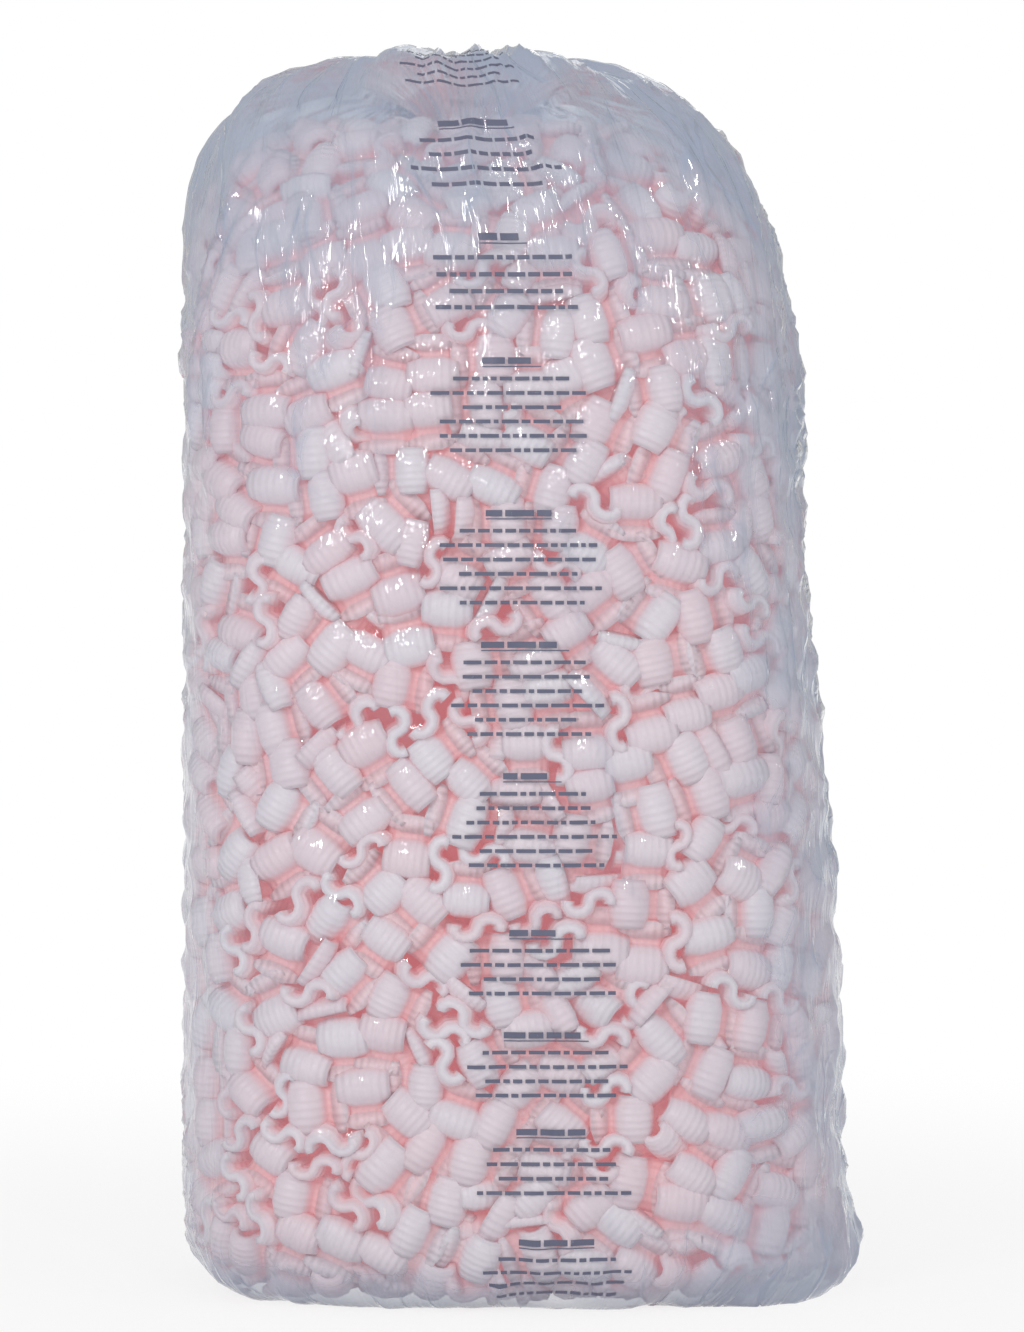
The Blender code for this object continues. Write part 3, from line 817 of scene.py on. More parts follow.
film_normals = row_normals(rows)
contacts = contact_heights(rows, film_normals, all_peanuts_tree())
print(f"peanuts stand {contacts.min() / MM:.0f} to {contacts.max() / MM:.0f} mm off the film's form")


# %% Lay the film on them
FILM_CLEARANCE = 0.6 * MM
TIGHTNESS_STEPS = 70
INWARD_PULL = 0.10 * MM
SKIN_LIMITS = (-6 * MM, 8 * MM)
FREE_FOOT = (2 * MM, 20 * MM)


def evened_out(contacts, start, steps, pull):
    """A skin over the peanuts: evened out step by step and pulled in, but never into a peanut."""
    height = start
    for _ in range(steps):
        mean = (np.roll(height, 1, axis=1) + np.roll(height, -1, axis=1)) / 4
        mean[1:-1] += (height[2:] + height[:-2]) / 4
        mean[0], mean[-1] = height[0], height[-1]
        height = np.maximum(contacts, mean - pull)
    return height


film_contacts = contacts + FILM_CLEARANCE
skin = evened_out(film_contacts, np.maximum(film_contacts, 0.0), TIGHTNESS_STEPS, INWARD_PULL)
on_body = ramp(rows[..., 2].mean(axis=1), *FREE_FOOT)
lip_row = int(np.argmax(rows[..., 2].mean(axis=1)))
beyond_lip = np.arange(len(rows)) > lip_row
skin *= np.where(beyond_lip, 0.0, on_body)[:, None]
skin = np.clip(skin, *SKIN_LIMITS)
print("the film stands", f"{skin.min() / MM:.1f} to {skin.max() / MM:.1f} mm", "off its smooth form")

# %% [markdown]
# ## How deep the light goes
#
# Light that reaches a gap has bounced off pink foam several times, so the gaps glow coral while the
# outermost faces stay pale. A renderer stops after a few bounces and shows grey gaps. So each point of a
# peanut stores how deep it lies under the outermost ones, and the foam's colour is mixed by that.

# %% Mark how deep each point lies
PALE_DEPTH = 3 * MM
CORAL_DEPTH = 14 * MM
ENVELOPE_STEPS = 40


def grid_quads(row_count, count):
    """Four-sided faces between the rows of a closed-round grid."""
    row, column = np.meshgrid(np.arange(row_count - 1) * count, np.arange(count), indexing="ij")
    after = (column + 1) % count
    corners = [row + column, row + after, row + count + after, row + count + column]
    return np.stack(corners, axis=2).reshape(-1, 4).tolist()


def envelope_tree():
    """A skin over the outermost peanuts, from the base up and in to the neck."""
    heights = evened_out(contacts, contacts, ENVELOPE_STEPS, 0.0)
    heights[:base_count] = 0.0
    from_neck = np.linalg.norm(rows[..., :2] - (NECK_X, NECK_Y), axis=2).mean(axis=1)
    neck_row = lip_row + int(np.argmax(from_neck[lip_row:] < NECK_RADIUS + DIMPLE_MARGIN))
    grid = (rows + film_normals * heights[..., None])[:neck_row]
    count = grid.shape[1]
    points = [Vector(point) for point in grid.reshape(-1, 3)]
    return BVHTree.FromPolygons(points, grid_quads(len(grid), count))


def mark_depth(piece, tree):
    """Stores how deep each point lies, from 0 at the skin of the fill to 1 where all light is coral."""
    nearest = [tree.find_nearest(vertex.co, CORAL_DEPTH)[3] for vertex in piece.data.vertices]
    depth = np.array([CORAL_DEPTH if distance is None else distance for distance in nearest])
    share = ramp(depth, PALE_DEPTH, CORAL_DEPTH - PALE_DEPTH)
    piece.data.attributes.new("depth", "FLOAT", "POINT").data.foreach_set("value", share.astype(np.float32))


envelope = envelope_tree()
for piece in (*peanut_pieces, peanuts_loose):
    mark_depth(piece, envelope)

# %% [markdown]
# ## Creases
#
# Film that is drawn together has to put its spare width somewhere: it rises in sharp ridges that run
# to the neck and die out down the sides. Long slanting ones come from the pull of the fill. Each crease
# here is a ridge along a slanting line on the sheet, sharp at its top and gone at both of its ends.

# %% Raise the creases
CREASE_SEED = 23
CREASE_TAPER = 0.7
# A crease wanders to both sides by up to so many columns, in waves that start anywhere in a turn.
WANDER_COLUMNS, WANDER_TURN, WANDER_WAVES = 3.0, 6.3, 5
# Each set of creases: how many, the row they start from, counted from the base's rim or from the lip,
# how long they run in rows, how many columns they drift for each row, their height and half-width in
# millimetres, and the share of the way round, from the right side, where they lie.
CREASE_SETS = (
    (110, "lip", (-60, -12), (30, 80), (-0.30, 0.30), (1.5, 5.5), (1.8, 5.0), (0.0, 1.0)),
    (14, "lip", (-90, -36), (22, 50), (-0.5, 0.5), (5.0, 8.0), (3.0, 5.0), (0.55, 0.95)),
    (30, "lip", (-140, -50), (35, 90), (-0.9, 0.9), (0.8, 2.4), (1.4, 3.0), (0.0, 1.0)),
    (34, "lip", (-160, -54), (50, 120), (-0.22, 0.10), (2.5, 6.5), (1.3, 2.6), (0.80, 1.04)),
    (46, "base", (-4, 26), (14, 42), (-1.4, 1.4), (1.0, 3.6), (1.6, 3.8), (0.0, 1.0)),
)
# Film that goes down into the dimple is drawn too tight to be slack: rows before the lip, and rows long.
TIGHT_FROM, TIGHT_REACH = 6, 14


def add_crease(ridges, spacing, draw, first_row, lengths, slants, heights, widths, columns):
    """One ridge. It starts at a row, runs up for a length, and drifts round the bag as it rises."""
    row_count, column_count = ridges.shape
    start, length = draw.uniform(*first_row), draw.uniform(*lengths)
    column, slant = draw.uniform(*columns) * column_count, draw.uniform(*slants)
    height, width = draw.uniform(*heights) * MM, draw.uniform(*widths) * MM
    wander, turn = draw.uniform(0.0, WANDER_COLUMNS), draw.uniform(0.0, WANDER_TURN)
    share = (np.arange(row_count) - start) / length
    inside = np.where((share > 0) & (share < 1))[0]
    part = share[inside]
    line = column + slant * (inside - start) + wander * np.sin(turn + WANDER_WAVES * part)
    off = np.arange(column_count)[None] - line[:, None]
    off = (off + column_count / 2) % column_count - column_count / 2
    distance = np.abs(off) * spacing[inside][:, None]
    taper = np.sin(math.pi * part) ** CREASE_TAPER
    ridges[inside] = np.maximum(ridges[inside], np.exp(-distance / width) * taper[:, None] * height)


def slack_until_lip(grid):
    """1 on the body, and 0 where the film goes down into the dimple."""
    return 1.0 - ramp(np.arange(len(grid)), lip_row - TIGHT_FROM, TIGHT_REACH)[:, None]


def crease_heights(grid):
    """Ridges in the film: to the neck, down the sides, long ones down the right, and up from the base."""
    draw = random.Random(CREASE_SEED)
    spacing = column_spacing(grid)
    ridges = np.zeros(grid.shape[:2])
    counted_from = {"base": base_count, "lip": lip_row}
    for count, origin, first_row, *ranges in CREASE_SETS:
        first_row = [counted_from[origin] + row for row in first_row]
        for _ in range(count):
            add_crease(ridges, spacing, draw, first_row, *ranges)
    return ridges * slack_until_lip(grid)


# %% Crumples, slack pockets and gathers
# Two sizes of crumple: their cells in rows and in columns, and their height.
CRUMPLE_OCTAVES = ((15, 9, 6.0 * MM), (8, 5, 2.0 * MM))
# How slack the film is: all over, and more past a height or a distance to the right, by start and reach.
SIDE_SLACK = 0.12
TOP_SLACK_FROM, TOP_SLACK_REACH = 0.62, 0.14
RIGHT_SLACK, RIGHT_SLACK_FROM, RIGHT_SLACK_REACH = 0.4, 0.11, 0.09
RIGHT_FOOT_SLACK, RIGHT_FOOT_TOP, RIGHT_FOOT_HEIGHT = 1.6, 0.11, 0.10
RIGHT_FOOT_FROM, RIGHT_FOOT_REACH = 0.05, 0.12
FOOT_SLACK, FOOT_TOP = 0.5, 0.05
# Pockets of slack film: the share of the way round, the height, half of each size, and how far it rises.
SLACK_POCKETS = ((0.975, 0.585, 0.030, 0.040, 10 * MM), (0.955, 0.040, 0.060, 0.050, 9 * MM),
                 (0.530, 0.660, 0.030, 0.050, 6 * MM), (0.560, 0.050, 0.050, 0.040, 6 * MM))
POCKET_FLATNESS = 0.6
GATHERS = 40
GATHER_DEPTH = 0.22
GATHER_ROWS = 30
GATHER_DRIFT, GATHER_TURN = 0.35, 0.9
# Where the film looks milky: the axis, where it starts, over what distance, and how much it adds. The
# ramp from 0.42 m up is painted shade that darkens the upper part; the others add milk at the top, at
# the foot and towards the right.
HAZE_AND_PAINTED_SHADE_RAMPS = ((2, 0.62, 0.17, 0.46), (2, 0.42, 0.26, 0.22), (2, 0.04, -0.04, 0.60), (0, 0.08, 0.12, 0.35))
HAZE_ALL_OVER = 0.10
HAZE_OF_FOLDS = 0.45
FULL_FOLD = 4.0 * MM


def value_noise(shape, cell_rows, cell_columns, seed):
    """Smooth random heights from 0 to 1 on the grid, that join up round the bag."""
    draw = np.random.default_rng(seed)
    across = max(3, round(shape[1] / cell_columns))
    knots = draw.uniform(size=(int(shape[0] / cell_rows) + 2, across))
    row, column = np.arange(shape[0]) / cell_rows, np.arange(shape[1]) * across / shape[1]
    r, c = row.astype(int), column.astype(int)
    fr, fc = smooth_step(row - r)[:, None], smooth_step(column - c)[None]
    low = knots[r][:, c % across] * (1 - fc) + knots[r][:, (c + 1) % across] * fc
    high = knots[r + 1][:, c % across] * (1 - fc) + knots[r + 1][:, (c + 1) % across] * fc
    return low * (1 - fr) + high * fr


def crumples(grid):
    """Crumples of slack film: noise that is folded over at its middle height, so that it rises to ridges."""
    folded = 0.0
    for number, (cell_rows, cell_columns, height) in enumerate(CRUMPLE_OCTAVES):
        noise = value_noise(grid.shape, cell_rows, cell_columns, CREASE_SEED + number)
        folded = folded + (1.0 - np.abs(2.0 * noise - 1.0)) * height
    to_right, height_at = grid[..., 0], grid[..., 2]
    slack = SIDE_SLACK + ramp(height_at, TOP_SLACK_FROM, TOP_SLACK_REACH)
    slack += RIGHT_SLACK * ramp(to_right, RIGHT_SLACK_FROM, RIGHT_SLACK_REACH)
    right_foot = ramp(height_at, RIGHT_FOOT_TOP, -RIGHT_FOOT_HEIGHT)
    right_foot *= RIGHT_FOOT_SLACK * ramp(to_right, RIGHT_FOOT_FROM, RIGHT_FOOT_REACH)
    foot = FOOT_SLACK * ramp(height_at, FOOT_TOP, -FOOT_TOP)
    turn = np.arange(grid.shape[1])[None] / grid.shape[1]
    for at_turn, at_height, half_turn, half_height, rise in SLACK_POCKETS:
        away = (turn - at_turn + 0.5) % 1.0 - 0.5
        near = np.exp(-(away / half_turn)**2 - ((height_at - at_height) / half_height)**2)
        folded += near * rise * (POCKET_FLATNESS + (1.0 - POCKET_FLATNESS) * folded / folded.max())
    return folded * np.maximum(slack, np.maximum(right_foot, foot)) * slack_until_lip(grid)


def gathers(grid):
    """Fine pleats where the film is drawn together, pressed inwards so that the band still fits."""
    number = np.arange(grid.shape[1]) * GATHERS / grid.shape[1]
    wave = np.abs(np.sin(math.pi * (number + GATHER_DRIFT * np.sin(number * GATHER_TURN))))
    pitch = column_spacing(grid) * grid.shape[1] / GATHERS
    rise = ramp(np.arange(len(grid)), lip_row - GATHER_ROWS, GATHER_ROWS)
    return (wave[None] - 1.0) * (pitch * rise * GATHER_DEPTH)[:, None]


creases = crease_heights(rows)
slack_film = crumples(rows)
film_grid = rows + film_normals * (skin + creases + slack_film + gathers(rows))[..., None]
film_grid[..., 2] = np.maximum(film_grid[..., 2], 0.0)
# Milk on the folds and by the ramps, with painted shade that darkens the upper part.
haze_and_painted_shade = HAZE_ALL_OVER + HAZE_OF_FOLDS * np.clip((creases + slack_film) / FULL_FOLD, 0.0, 1.0)
for axis, start, reach, amount in HAZE_AND_PAINTED_SHADE_RAMPS:
    haze_and_painted_shade += amount * ramp(rows[..., axis], start, reach)
print("creases rise to", f"{creases.max() / MM:.1f} mm")

# %% [markdown]
# ## Polyethylene film
#
# Low density polyethylene, blown thin: nearly clear, with a faint milky blue haze where it is seen
# edge-on or lies in gathers, and a sharp wet-looking shine on every crease. A thin sheet doesn't bend
# light, so the shader lets it straight through, and mixes in gloss by Fresnel and haze by weight. The
# same bluish haze is also laid over the upper part of the bag as painted shade.

# %% Film material
# Blown polyethylene film. It gives the eye sharp wet highlights on its folds, a bluish milk where it is
# slack, gathered or seen edge-on, and otherwise nothing but what lies behind it. The same bluish milk
# is laid over the upper part as painted shade.
FILM_HAZE_AND_PAINTED_SHADE = "#a3adc1"
FILM_TINT = (0.985, 0.99, 1.0, 1.0)
FILM_IOR = 1.51
FILM_ROUGHNESS = 0.07
# Patterns on the sheet, by how many there are to a metre across it and along it.
PATCHES_PER_METRE = 11.0
FOLDS_PER_METRE = (30.0, 9.0, 1.0)
WRINKLES_PER_METRE = (85.0, 13.0, 1.0)
FOLD_BEND = (0.07, 0.07, 0.0)
FOLD_LINE = 0.05
FOLD_PATCHES = (0.46, 0.58)
FOLD_RISE = 0.3
WRINKLE_ROUGHNESS = 0.62
WRINKLE_DISTORTION = 0.9
WRINKLE_STRENGTH = 0.8
WRINKLE_DEPTH = 2.6 * MM
# How milky it is: in thin and in thick patches, seen edge-on, on a fold line, and all over.
MILK_PATCHES = (0.35, 0.65)
MILK = (0.28, 0.62)
EDGE_BLEND, EDGE_MILK = 0.32, 0.60
FOLD_MILK = 0.25
LEAST_MILK = 0.05


def fold_lines(tree, place, bends, patch, amount):
    """Thin bent lines between long cells, broken by patches, and only where the film is slack."""
    bent = add(tree, "ShaderNodeVectorMath", {0: bends, 1: FOLD_BEND, 2: place},
               operation="MULTIPLY_ADD").outputs[0]
    cells = add(tree, "ShaderNodeMapping", {"Vector": bent, "Scale": FOLDS_PER_METRE}).outputs[0]
    to_fold = add(tree, "ShaderNodeTexVoronoi", {"Vector": cells, "Scale": 1.0}, voronoi_dimensions="2D",
                  feature="DISTANCE_TO_EDGE").outputs["Distance"]
    line = rescaled(tree, to_fold, 0.0, FOLD_LINE, 1.0, 0.0)
    broken = maths(tree, "MULTIPLY", line, rescaled(tree, patch, *FOLD_PATCHES))
    return maths(tree, "MULTIPLY", broken, amount, use_clamp=True)


def film_material():
    """Clear film with gloss by Fresnel, and milk and painted shade by weight. Shadow and bounced rays pass it
    plainly.
    """
    made, tree = empty_material("low density polyethylene film with painted shade")
    place = add(tree, "ShaderNodeUVMap", uv_map="film").outputs["UV"]
    # How milky the film is, with painted shade over the upper part.
    amount = add(tree, "ShaderNodeAttribute", attribute_name="haze_and_painted_shade").outputs["Fac"]
    patches = add(tree, "ShaderNodeTexNoise", {"Vector": place, "Scale": PATCHES_PER_METRE, "Detail": 1.0})
    bends, patch = patches.outputs["Color"], patches.outputs["Fac"]
    fold = fold_lines(tree, place, bends, patch, amount)
    stretched = add(tree, "ShaderNodeMapping", {"Vector": place, "Scale": WRINKLES_PER_METRE}).outputs[0]
    wrinkles = add(tree, "ShaderNodeTexNoise", {
        "Vector": stretched, "Scale": 1.0, "Detail": 2.0, "Roughness": WRINKLE_ROUGHNESS,
        "Distortion": WRINKLE_DISTORTION}).outputs["Fac"]
    height = maths(tree, "MULTIPLY_ADD", fold, FOLD_RISE, wrinkles)
    bump = add(tree, "ShaderNodeBump", {
        "Height": height, "Strength": WRINKLE_STRENGTH, "Distance": WRINKLE_DEPTH}).outputs[0]
    gloss = add(tree, "ShaderNodeBsdfGlossy", {"Color": WHITE, "Roughness": FILM_ROUGHNESS, "Normal": bump})
    clear = add(tree, "ShaderNodeBsdfTransparent", {"Color": FILM_TINT}).outputs[0]
    # Bluish milky film, also laid on as painted shade over the upper part.
    milky_and_painted_shade = add(tree, "ShaderNodeBsdfDiffuse", {"Color": linear(FILM_HAZE_AND_PAINTED_SHADE), "Normal": bump}).outputs[0]
    grazing = add(tree, "ShaderNodeLayerWeight", {"Blend": EDGE_BLEND}).outputs["Facing"]
    milk = rescaled(tree, patch, *MILK_PATCHES, *MILK)
    veil_and_painted_shade = maths(tree, "MULTIPLY_ADD", amount, milk, maths(tree, "MULTIPLY", grazing, EDGE_MILK))
    veil_and_painted_shade = maths(tree, "MULTIPLY_ADD", fold, FOLD_MILK, veil_and_painted_shade)
    veil_and_painted_shade = maths(tree, "ADD", veil_and_painted_shade, LEAST_MILK, use_clamp=True)
    mirror = add(tree, "ShaderNodeFresnel", {"IOR": FILM_IOR, "Normal": bump}).outputs[0]
    seen = either(tree, mirror, either(tree, veil_and_painted_shade, clear, milky_and_painted_shade), gloss.outputs[0])
    rays = add(tree, "ShaderNodeLightPath").outputs
    passing = maths(tree, "MAXIMUM", rays["Is Shadow Ray"], rays["Is Diffuse Ray"])
    return with_surface(made, either(tree, passing, seen, clear))


film_finish = film_material()

# %% The film's mesh
def film_object(grid, haze_and_painted_shade_values):
    """One sheet: quads between the rows, closed by a fan at the middle of the base, open at the tail."""
    row_count, count = grid.shape[:2]
    points = grid.reshape(-1, 3).tolist() + [(0.0, 0.0, 0.0)]
    fan = [(len(points) - 1, (k + 1) % count, k) for k in range(count)]
    made = mesh_object("film", points, grid_quads(row_count, count) + fan, film_finish)
    mesh = made.data
    mesh.shade_smooth()
    column_width = 2 * FLAT_WIDTH / count
    row, column = np.meshgrid(np.arange(row_count - 1), np.arange(count), indexing="ij")
    corner_rows = np.stack([row, row, row + 1, row + 1], axis=2).reshape(-1)
    corner_columns = np.stack([column, column + 1, column + 1, column], axis=2).reshape(-1)
    sheet_corners = np.stack([corner_columns * column_width, corner_rows * FILM_STEP], axis=1)
    fan_corners = np.array([(turn * column_width, height) for k in range(count)
                            for turn, height in ((k + 0.5, -FILM_STEP), (k + 1, 0.0), (k, 0.0))])
    layer = mesh.uv_layers.new(name="film")
    layer.data.foreach_set("uv", np.concatenate([sheet_corners, fan_corners]).astype(np.float32).ravel())
    # The milk, with painted shade over the upper part, as a point attribute.
    veil_and_painted_shade = mesh.attributes.new("haze_and_painted_shade", "FLOAT", "POINT")
    veil_and_painted_shade.data.foreach_set("value", np.append(haze_and_painted_shade_values.ravel(), 0.0).astype(np.float32))
    return made


film = film_object(film_grid, haze_and_painted_shade)
print("the film has", len(film.data.polygons), "faces")

# %% [markdown]
# ## The core of the fill
#
# Only the outer two layers of peanuts can be seen. Behind them a plain closed surface stands for the
# rest, in the painted coral and glow of the bounced light that the gaps take on, so that no light comes
# through from the other side.

# %% Core
CORE_ROWS = 40
CORE_COLUMNS = 64
CORE_FOOT = 0.6 * LAYER_DEPTH
CORE_INSET = 0.9 * LAYER_DEPTH
CORE_GAP = 4 * MM


def core_object():
    """A closed form like the bag's own, one layer of peanuts further in."""
    points = []
    for z in np.linspace(CORE_FOOT, LIP_Z - HEADSPACE - LAYER_DEPTH - CORE_GAP, CORE_ROWS):
        right, left, face = half_widths(z, HEADSPACE + LAYER_DEPTH, CORE_INSET)
        for k in range(CORE_COLUMNS):
            angle = 2 * math.pi * k / CORE_COLUMNS
            c, s = math.cos(angle), math.sin(angle)
            x = (right if c > 0 else left) * math.copysign(abs(c) ** (2 / BODY_POWER), c)
            points.append((x, face * math.copysign(abs(s) ** (2 / BODY_POWER), s), z))
    faces = [(r * CORE_COLUMNS + k, r * CORE_COLUMNS + (k + 1) % CORE_COLUMNS,
              (r + 1) * CORE_COLUMNS + (k + 1) % CORE_COLUMNS, (r + 1) * CORE_COLUMNS + k)
             for r in range(CORE_ROWS - 1) for k in range(CORE_COLUMNS)]
    faces.append(tuple(reversed(range(CORE_COLUMNS))))
    faces.append(tuple(range((CORE_ROWS - 1) * CORE_COLUMNS, CORE_ROWS * CORE_COLUMNS)))
    return mesh_object("packed_core", points, faces, deep_foam_painted_bounce)


core = core_object()

# %% [markdown]
# ## The print
#
# The real film carries a column of dark slate print. Its place holds plain dashes here, in blocks of
# short rows, which say nothing. Ink lies on the film, so each dash is laid on the film's own grid and
# follows its creases, and crowds together where the film is gathered.

# %% Print
# Thin dark slate ink with a slight shine, which gives the eye the only dark marks on the bag.
INK_COLOUR = "#62657b"
INK_ROUGHNESS = 0.45
PRINT_X = 12 * MM
PRINT_HALF_WIDTH = 54 * MM
ROW_PITCH = 9.1 * MM
DASH_HEIGHT = 2.4 * MM
DASH_GAP = 2.0 * MM
BAR_HEIGHT = 4.0 * MM
RULE_HEIGHT = 0.8 * MM
PRINT_LEAN = 0.05
PRINT_FROM = 40 * MM
PRINT_TO = 920 * MM
ROWS_TO_BLOCK = (4, 5, 6)
ROW_SHARES, BAR_SHARES = (0.62, 1.0), (0.30, 0.55)
DASH_LENGTHS, BAR_LENGTHS = (3 * MM, 13 * MM), (9 * MM, 20 * MM)
BLOCK_GAPS = (14 * MM, 40 * MM)
BAR_UP, RULE_DOWN = 1.2 * MM, 0.8 * MM
DASH_PART = 2.5 * MM
ROW_OF_FULL_GIRTH = 60
INK_LIFT = 0.25 * MM
PRINT_SEED = 8


def on_film(grid, normals, row, column):
    """The point of the film at a place between its rows and columns, raised by the ink's lift."""
    r, c = int(row), int(math.floor(column))
    fr, fc = row - r, column - math.floor(column)
    r2, c1, c2 = min(r + 1, len(grid) - 1), c % grid.shape[1], (c + 1) % grid.shape[1]
    weights = ((r, c1, (1 - fr) * (1 - fc)), (r, c2, (1 - fr) * fc),
               (r2, c1, fr * (1 - fc)), (r2, c2, fr * fc))
    point = sum(grid[a, b] * w for a, b, w in weights)
    normal = sum(normals[a, b] * w for a, b, w in weights)
    return tuple(point + normal / np.linalg.norm(normal) * INK_LIFT)


def dash_row(draw, half, shortest, longest):
    """The ends of the dashes along one row, with a gap after each."""
    at, dashes = -half, []
    while at < half - shortest:
        length = min(draw.uniform(shortest, longest), half - at)
        dashes.append((at, at + length))
        at += length + DASH_GAP
    return dashes


def print_rows(draw):
    """Blocks of print, as rows with a place, a height and dashes: a tall row, its rule, and plain rows."""
    row_at, made = PRINT_FROM, []
    while row_at < PRINT_TO:
        for _ in range(draw.choice(ROWS_TO_BLOCK)):
            half = PRINT_HALF_WIDTH * draw.uniform(*ROW_SHARES)
            made.append((row_at, DASH_HEIGHT, dash_row(draw, half, *DASH_LENGTHS)))
            row_at += ROW_PITCH
        half = PRINT_HALF_WIDTH * draw.uniform(*BAR_SHARES)
        made.append((row_at + BAR_UP, BAR_HEIGHT, dash_row(draw, half, *BAR_LENGTHS)))
        made.append((row_at - RULE_DOWN, RULE_HEIGHT, [(-half, half)]))
        row_at += ROW_PITCH + draw.uniform(*BLOCK_GAPS)
    return made


def print_object(name, centre_column, direction, finish):
    """The print on one side of the bag, from the middle column of that side outwards."""
    normals = row_normals(film_grid)
    body_spacing = column_spacing(film_grid)[base_count + ROW_OF_FULL_GIRTH]
    points, faces = [], []
    for row_at, tall, dashes in print_rows(random.Random(PRINT_SEED)):
        for start, end in dashes:
            parts = max(2, math.ceil((end - start) / DASH_PART))
            for k in range(parts + 1):
                x = start + (end - start) * k / parts + PRINT_X - PRINT_LEAN * (row_at - BAG_HEIGHT / 2)
                for side in (0, 1):
                    row = base_count + (row_at + side * tall) / FILM_STEP
                    column = centre_column + direction * x / body_spacing
                    points.append(on_film(film_grid, normals, row, column))
                if k:
                    last = len(points) - 1
                    quad = (last - 3, last - 1, last, last - 2)
                    faces.append(quad if direction > 0 else quad[::-1])
    print(name, len(faces), "faces")
    return mesh_object(name, points, faces, finish)


ink = plain_material("flexographic ink", {"Base Color": linear(INK_COLOUR), "Roughness": INK_ROUGHNESS})
front_print = print_object("print_front", 3 * FILM_COLUMNS // 4, 1, ink)
back_print = print_object("print_back", FILM_COLUMNS // 4, -1, ink)

# %% [markdown]
# ## The closure band
#
# The photograph hides the closure, so it is a guess: a short band round the gathered film, behind the
# top. It is hard and plain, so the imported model's solid is shown as it is, in a finish of its own.

# %% The closure band
# White plastic tape with a soft shine, which gives the eye one plain firm ring in the crumpled film.
TAPE_COLOUR = "#e4e4e6"
TAPE_ROUGHNESS = 0.35
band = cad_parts["neck_band"]
band.data.materials.clear()
band.data.materials.append(plain_material("white closure tape", {
    "Base Color": linear(TAPE_COLOUR), "Roughness": TAPE_ROUGHNESS}))
print("the band spans", [f"{size / MM:.0f} mm" for size in band.dimensions])

# %% [markdown]
# ## What each piece stands for
#
# The bag has no moving part, so every piece rides on its one body. The solids that the pieces are
# shown in place of are hidden.

# %% Ride on the body, and hide the solids that the pieces stand in for
slots = {"clear_film": (film, front_print, back_print), "foam_peanut": (*peanut_pieces, peanuts_loose, core),
         "closure_band": (band,)}
for slot, pieces in slots.items():
    for piece in pieces:
        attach(piece, BODY)
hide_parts("film_bag")
for piece in (*peanut_pieces, core):
    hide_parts("packed_peanuts")
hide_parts(*loose_nodes)
bpy.data.objects.remove(fine_peanut, do_unlink=True)

# %% [markdown]
# ## Floor, light and camera
#
# The photograph is a cut-out on white, taken in soft light from the front left. The floor and the world
# look white to the camera and light the bag at a plain level. Small lamps make the sharp streaks that the
# film's folds throw back. The camera stands far off, because the photograph shows hardly any perspective.

# %% The studio
CAMERA_DISTANCE = 3.2
CAMERA_HEIGHT = 0.52
LOOK_AT = Vector((0.0, 0.0, BAG_HEIGHT / 2 + 4 * MM))
FRAME_HEIGHT = 0.895
SENSOR = 36.0
FLOOR_REACH = 40.0
FLOOR_COLOUR = "#f4f4f5"
FLOOR_FADE = (0.3, 1.3)
FLOOR_LEAST_WHITE = 0.80
WORLD_LIGHT = 0.62
# Each lamp: its place, its size in metres and its watts.
LAMPS = {
    "window": ((-1.4, -2.1, 1.6), 0.32, 8.0),
    "strip_left": ((-0.9, -2.2, 1.1), 0.12, 5.0),
    "strip_front": ((-0.6, -3.0, 1.5), 0.10, 4.0),
    "strip_high": ((0.5, -1.9, 2.4), 0.12, 4.0),
    "lamp_right": ((1.8, -1.4, 1.3), 0.16, 3.5),
    "lamp_behind": ((0.3, 1.8, 1.9), 0.8, 1.5),
}


def seen_by(tree, *kinds):
    """1 for the kinds of ray that are named, and 0 for the rest."""
    rays = add(tree, "ShaderNodeLightPath").outputs
    seen = rays[kinds[0]]
    for kind in kinds[1:]:
        seen = maths(tree, "MAXIMUM", seen, rays[kind])
    return seen


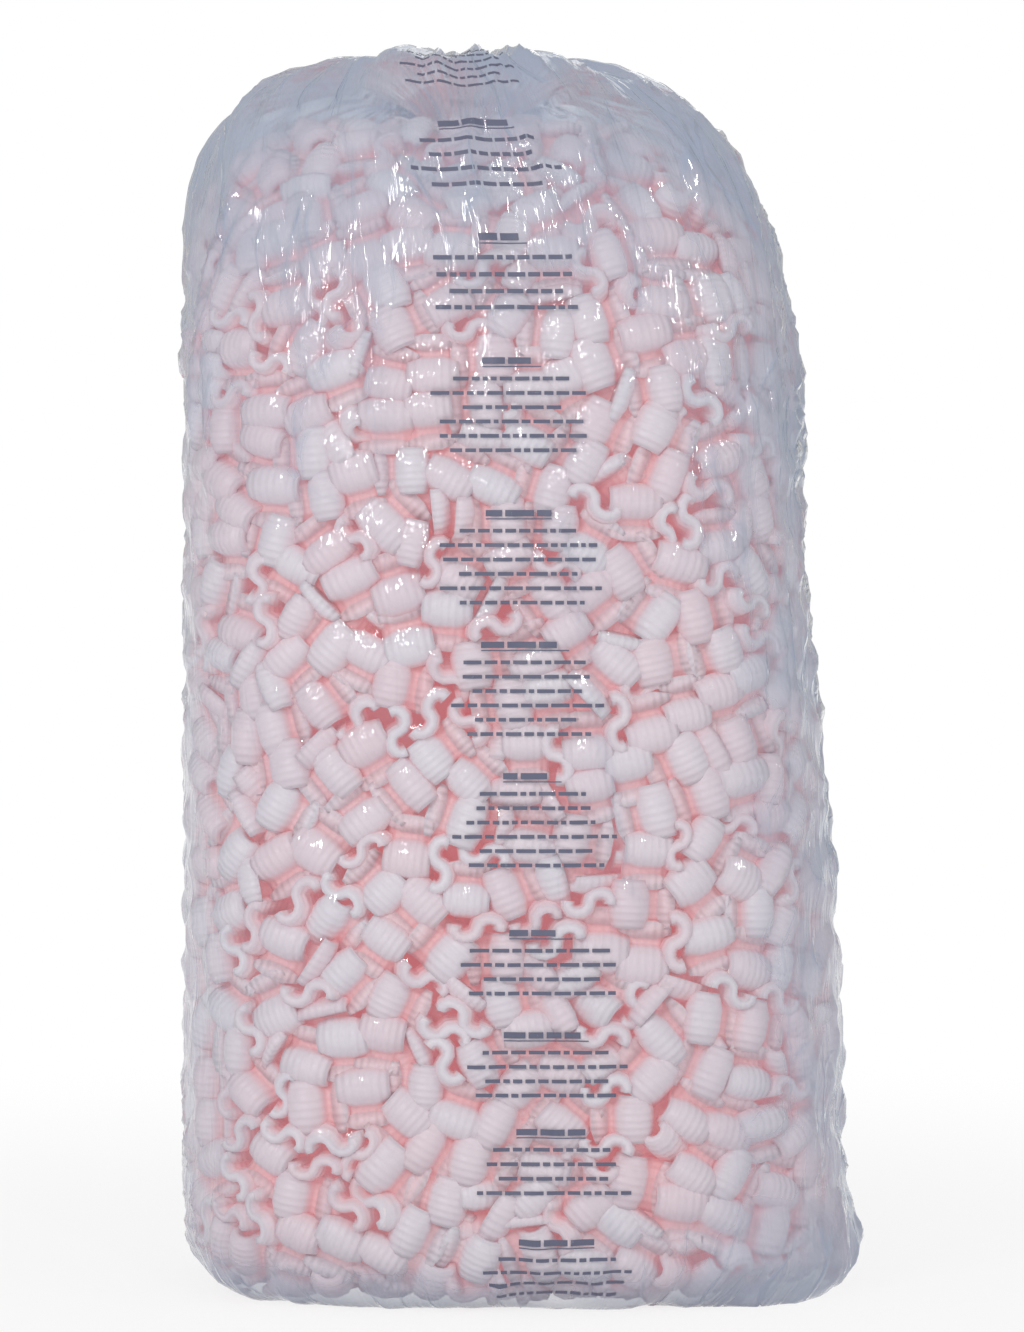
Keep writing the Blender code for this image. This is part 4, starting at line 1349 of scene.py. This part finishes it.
def studio_floor():
    """A pale floor that fades to plain white away from the bag, and is white to the camera."""
    finish, tree = empty_material("pale floor")
    pale = add(tree, "ShaderNodeBsdfDiffuse", {"Color": linear(FLOOR_COLOUR)}).outputs[0]
    white = add(tree, "ShaderNodeEmission", {"Color": WHITE, "Strength": 1.0}).outputs[0]
    where = add(tree, "ShaderNodeTexCoord").outputs["Object"]
    distance = add(tree, "ShaderNodeVectorMath", {0: where}, operation="LENGTH").outputs["Value"]
    far = rescaled(tree, distance, *FLOOR_FADE, FLOOR_LEAST_WHITE, interpolation_type="SMOOTHSTEP")
    seen = seen_by(tree, "Is Camera Ray", "Is Glossy Ray", "Is Transmission Ray")
    with_surface(finish, either(tree, seen, pale, either(tree, far, pale, white)))
    r = FLOOR_REACH
    mesh_object("floor", [(-r, -r, 0), (r, -r, 0), (r, r, 0), (-r, r, 0)], [(0, 1, 2, 3)], finish)


def soft_light(name, place, size, watts):
    """A square lamp that looks at the middle of the bag."""
    data = bpy.data.lights.new(name, "AREA")
    data.shape, data.size, data.energy = "SQUARE", size, watts
    made = bpy.data.objects.new(name, data)
    bpy.context.scene.collection.objects.link(made)
    made.location = place
    made.rotation_euler = (LOOK_AT - Vector(place)).to_track_quat("-Z", "Y").to_euler()


def studio_world():
    """Light from all round, and full white where the camera sees it."""
    world = bpy.data.worlds.new("white studio")
    bpy.context.scene.world = world
    world.use_nodes = True
    tree = world.node_tree
    tree.nodes.clear()
    seen = seen_by(tree, "Is Camera Ray", "Is Transmission Ray")
    strength = add(tree, "ShaderNodeMix", {"Factor": seen, "A": WORLD_LIGHT, "B": 1.0}, data_type="FLOAT")
    sky = add(tree, "ShaderNodeBackground", {"Color": WHITE, "Strength": strength.outputs[0]})
    add(tree, "ShaderNodeOutputWorld", {"Surface": sky.outputs[0]})


def studio_camera():
    """A long lens, set so that the frame is as high as wanted at the bag."""
    data = bpy.data.cameras.new("camera")
    made = bpy.data.objects.new("camera", data)
    bpy.context.scene.collection.objects.link(made)
    made.location = (0.0, -CAMERA_DISTANCE, CAMERA_HEIGHT)
    made.rotation_euler = (LOOK_AT - made.location).to_track_quat("-Z", "Y").to_euler()
    data.sensor_width = SENSOR
    data.lens = SENSOR * (LOOK_AT - made.location).length / FRAME_HEIGHT
    bpy.context.scene.camera = made


studio_floor()
studio_world()
for name, (place, size, watts) in LAMPS.items():
    soft_light(name, place, size, watts)
studio_camera()
bpy.context.scene.view_settings.view_transform = "Standard"
print(len(LAMPS), "lamps, and a camera", CAMERA_DISTANCE, "m away")
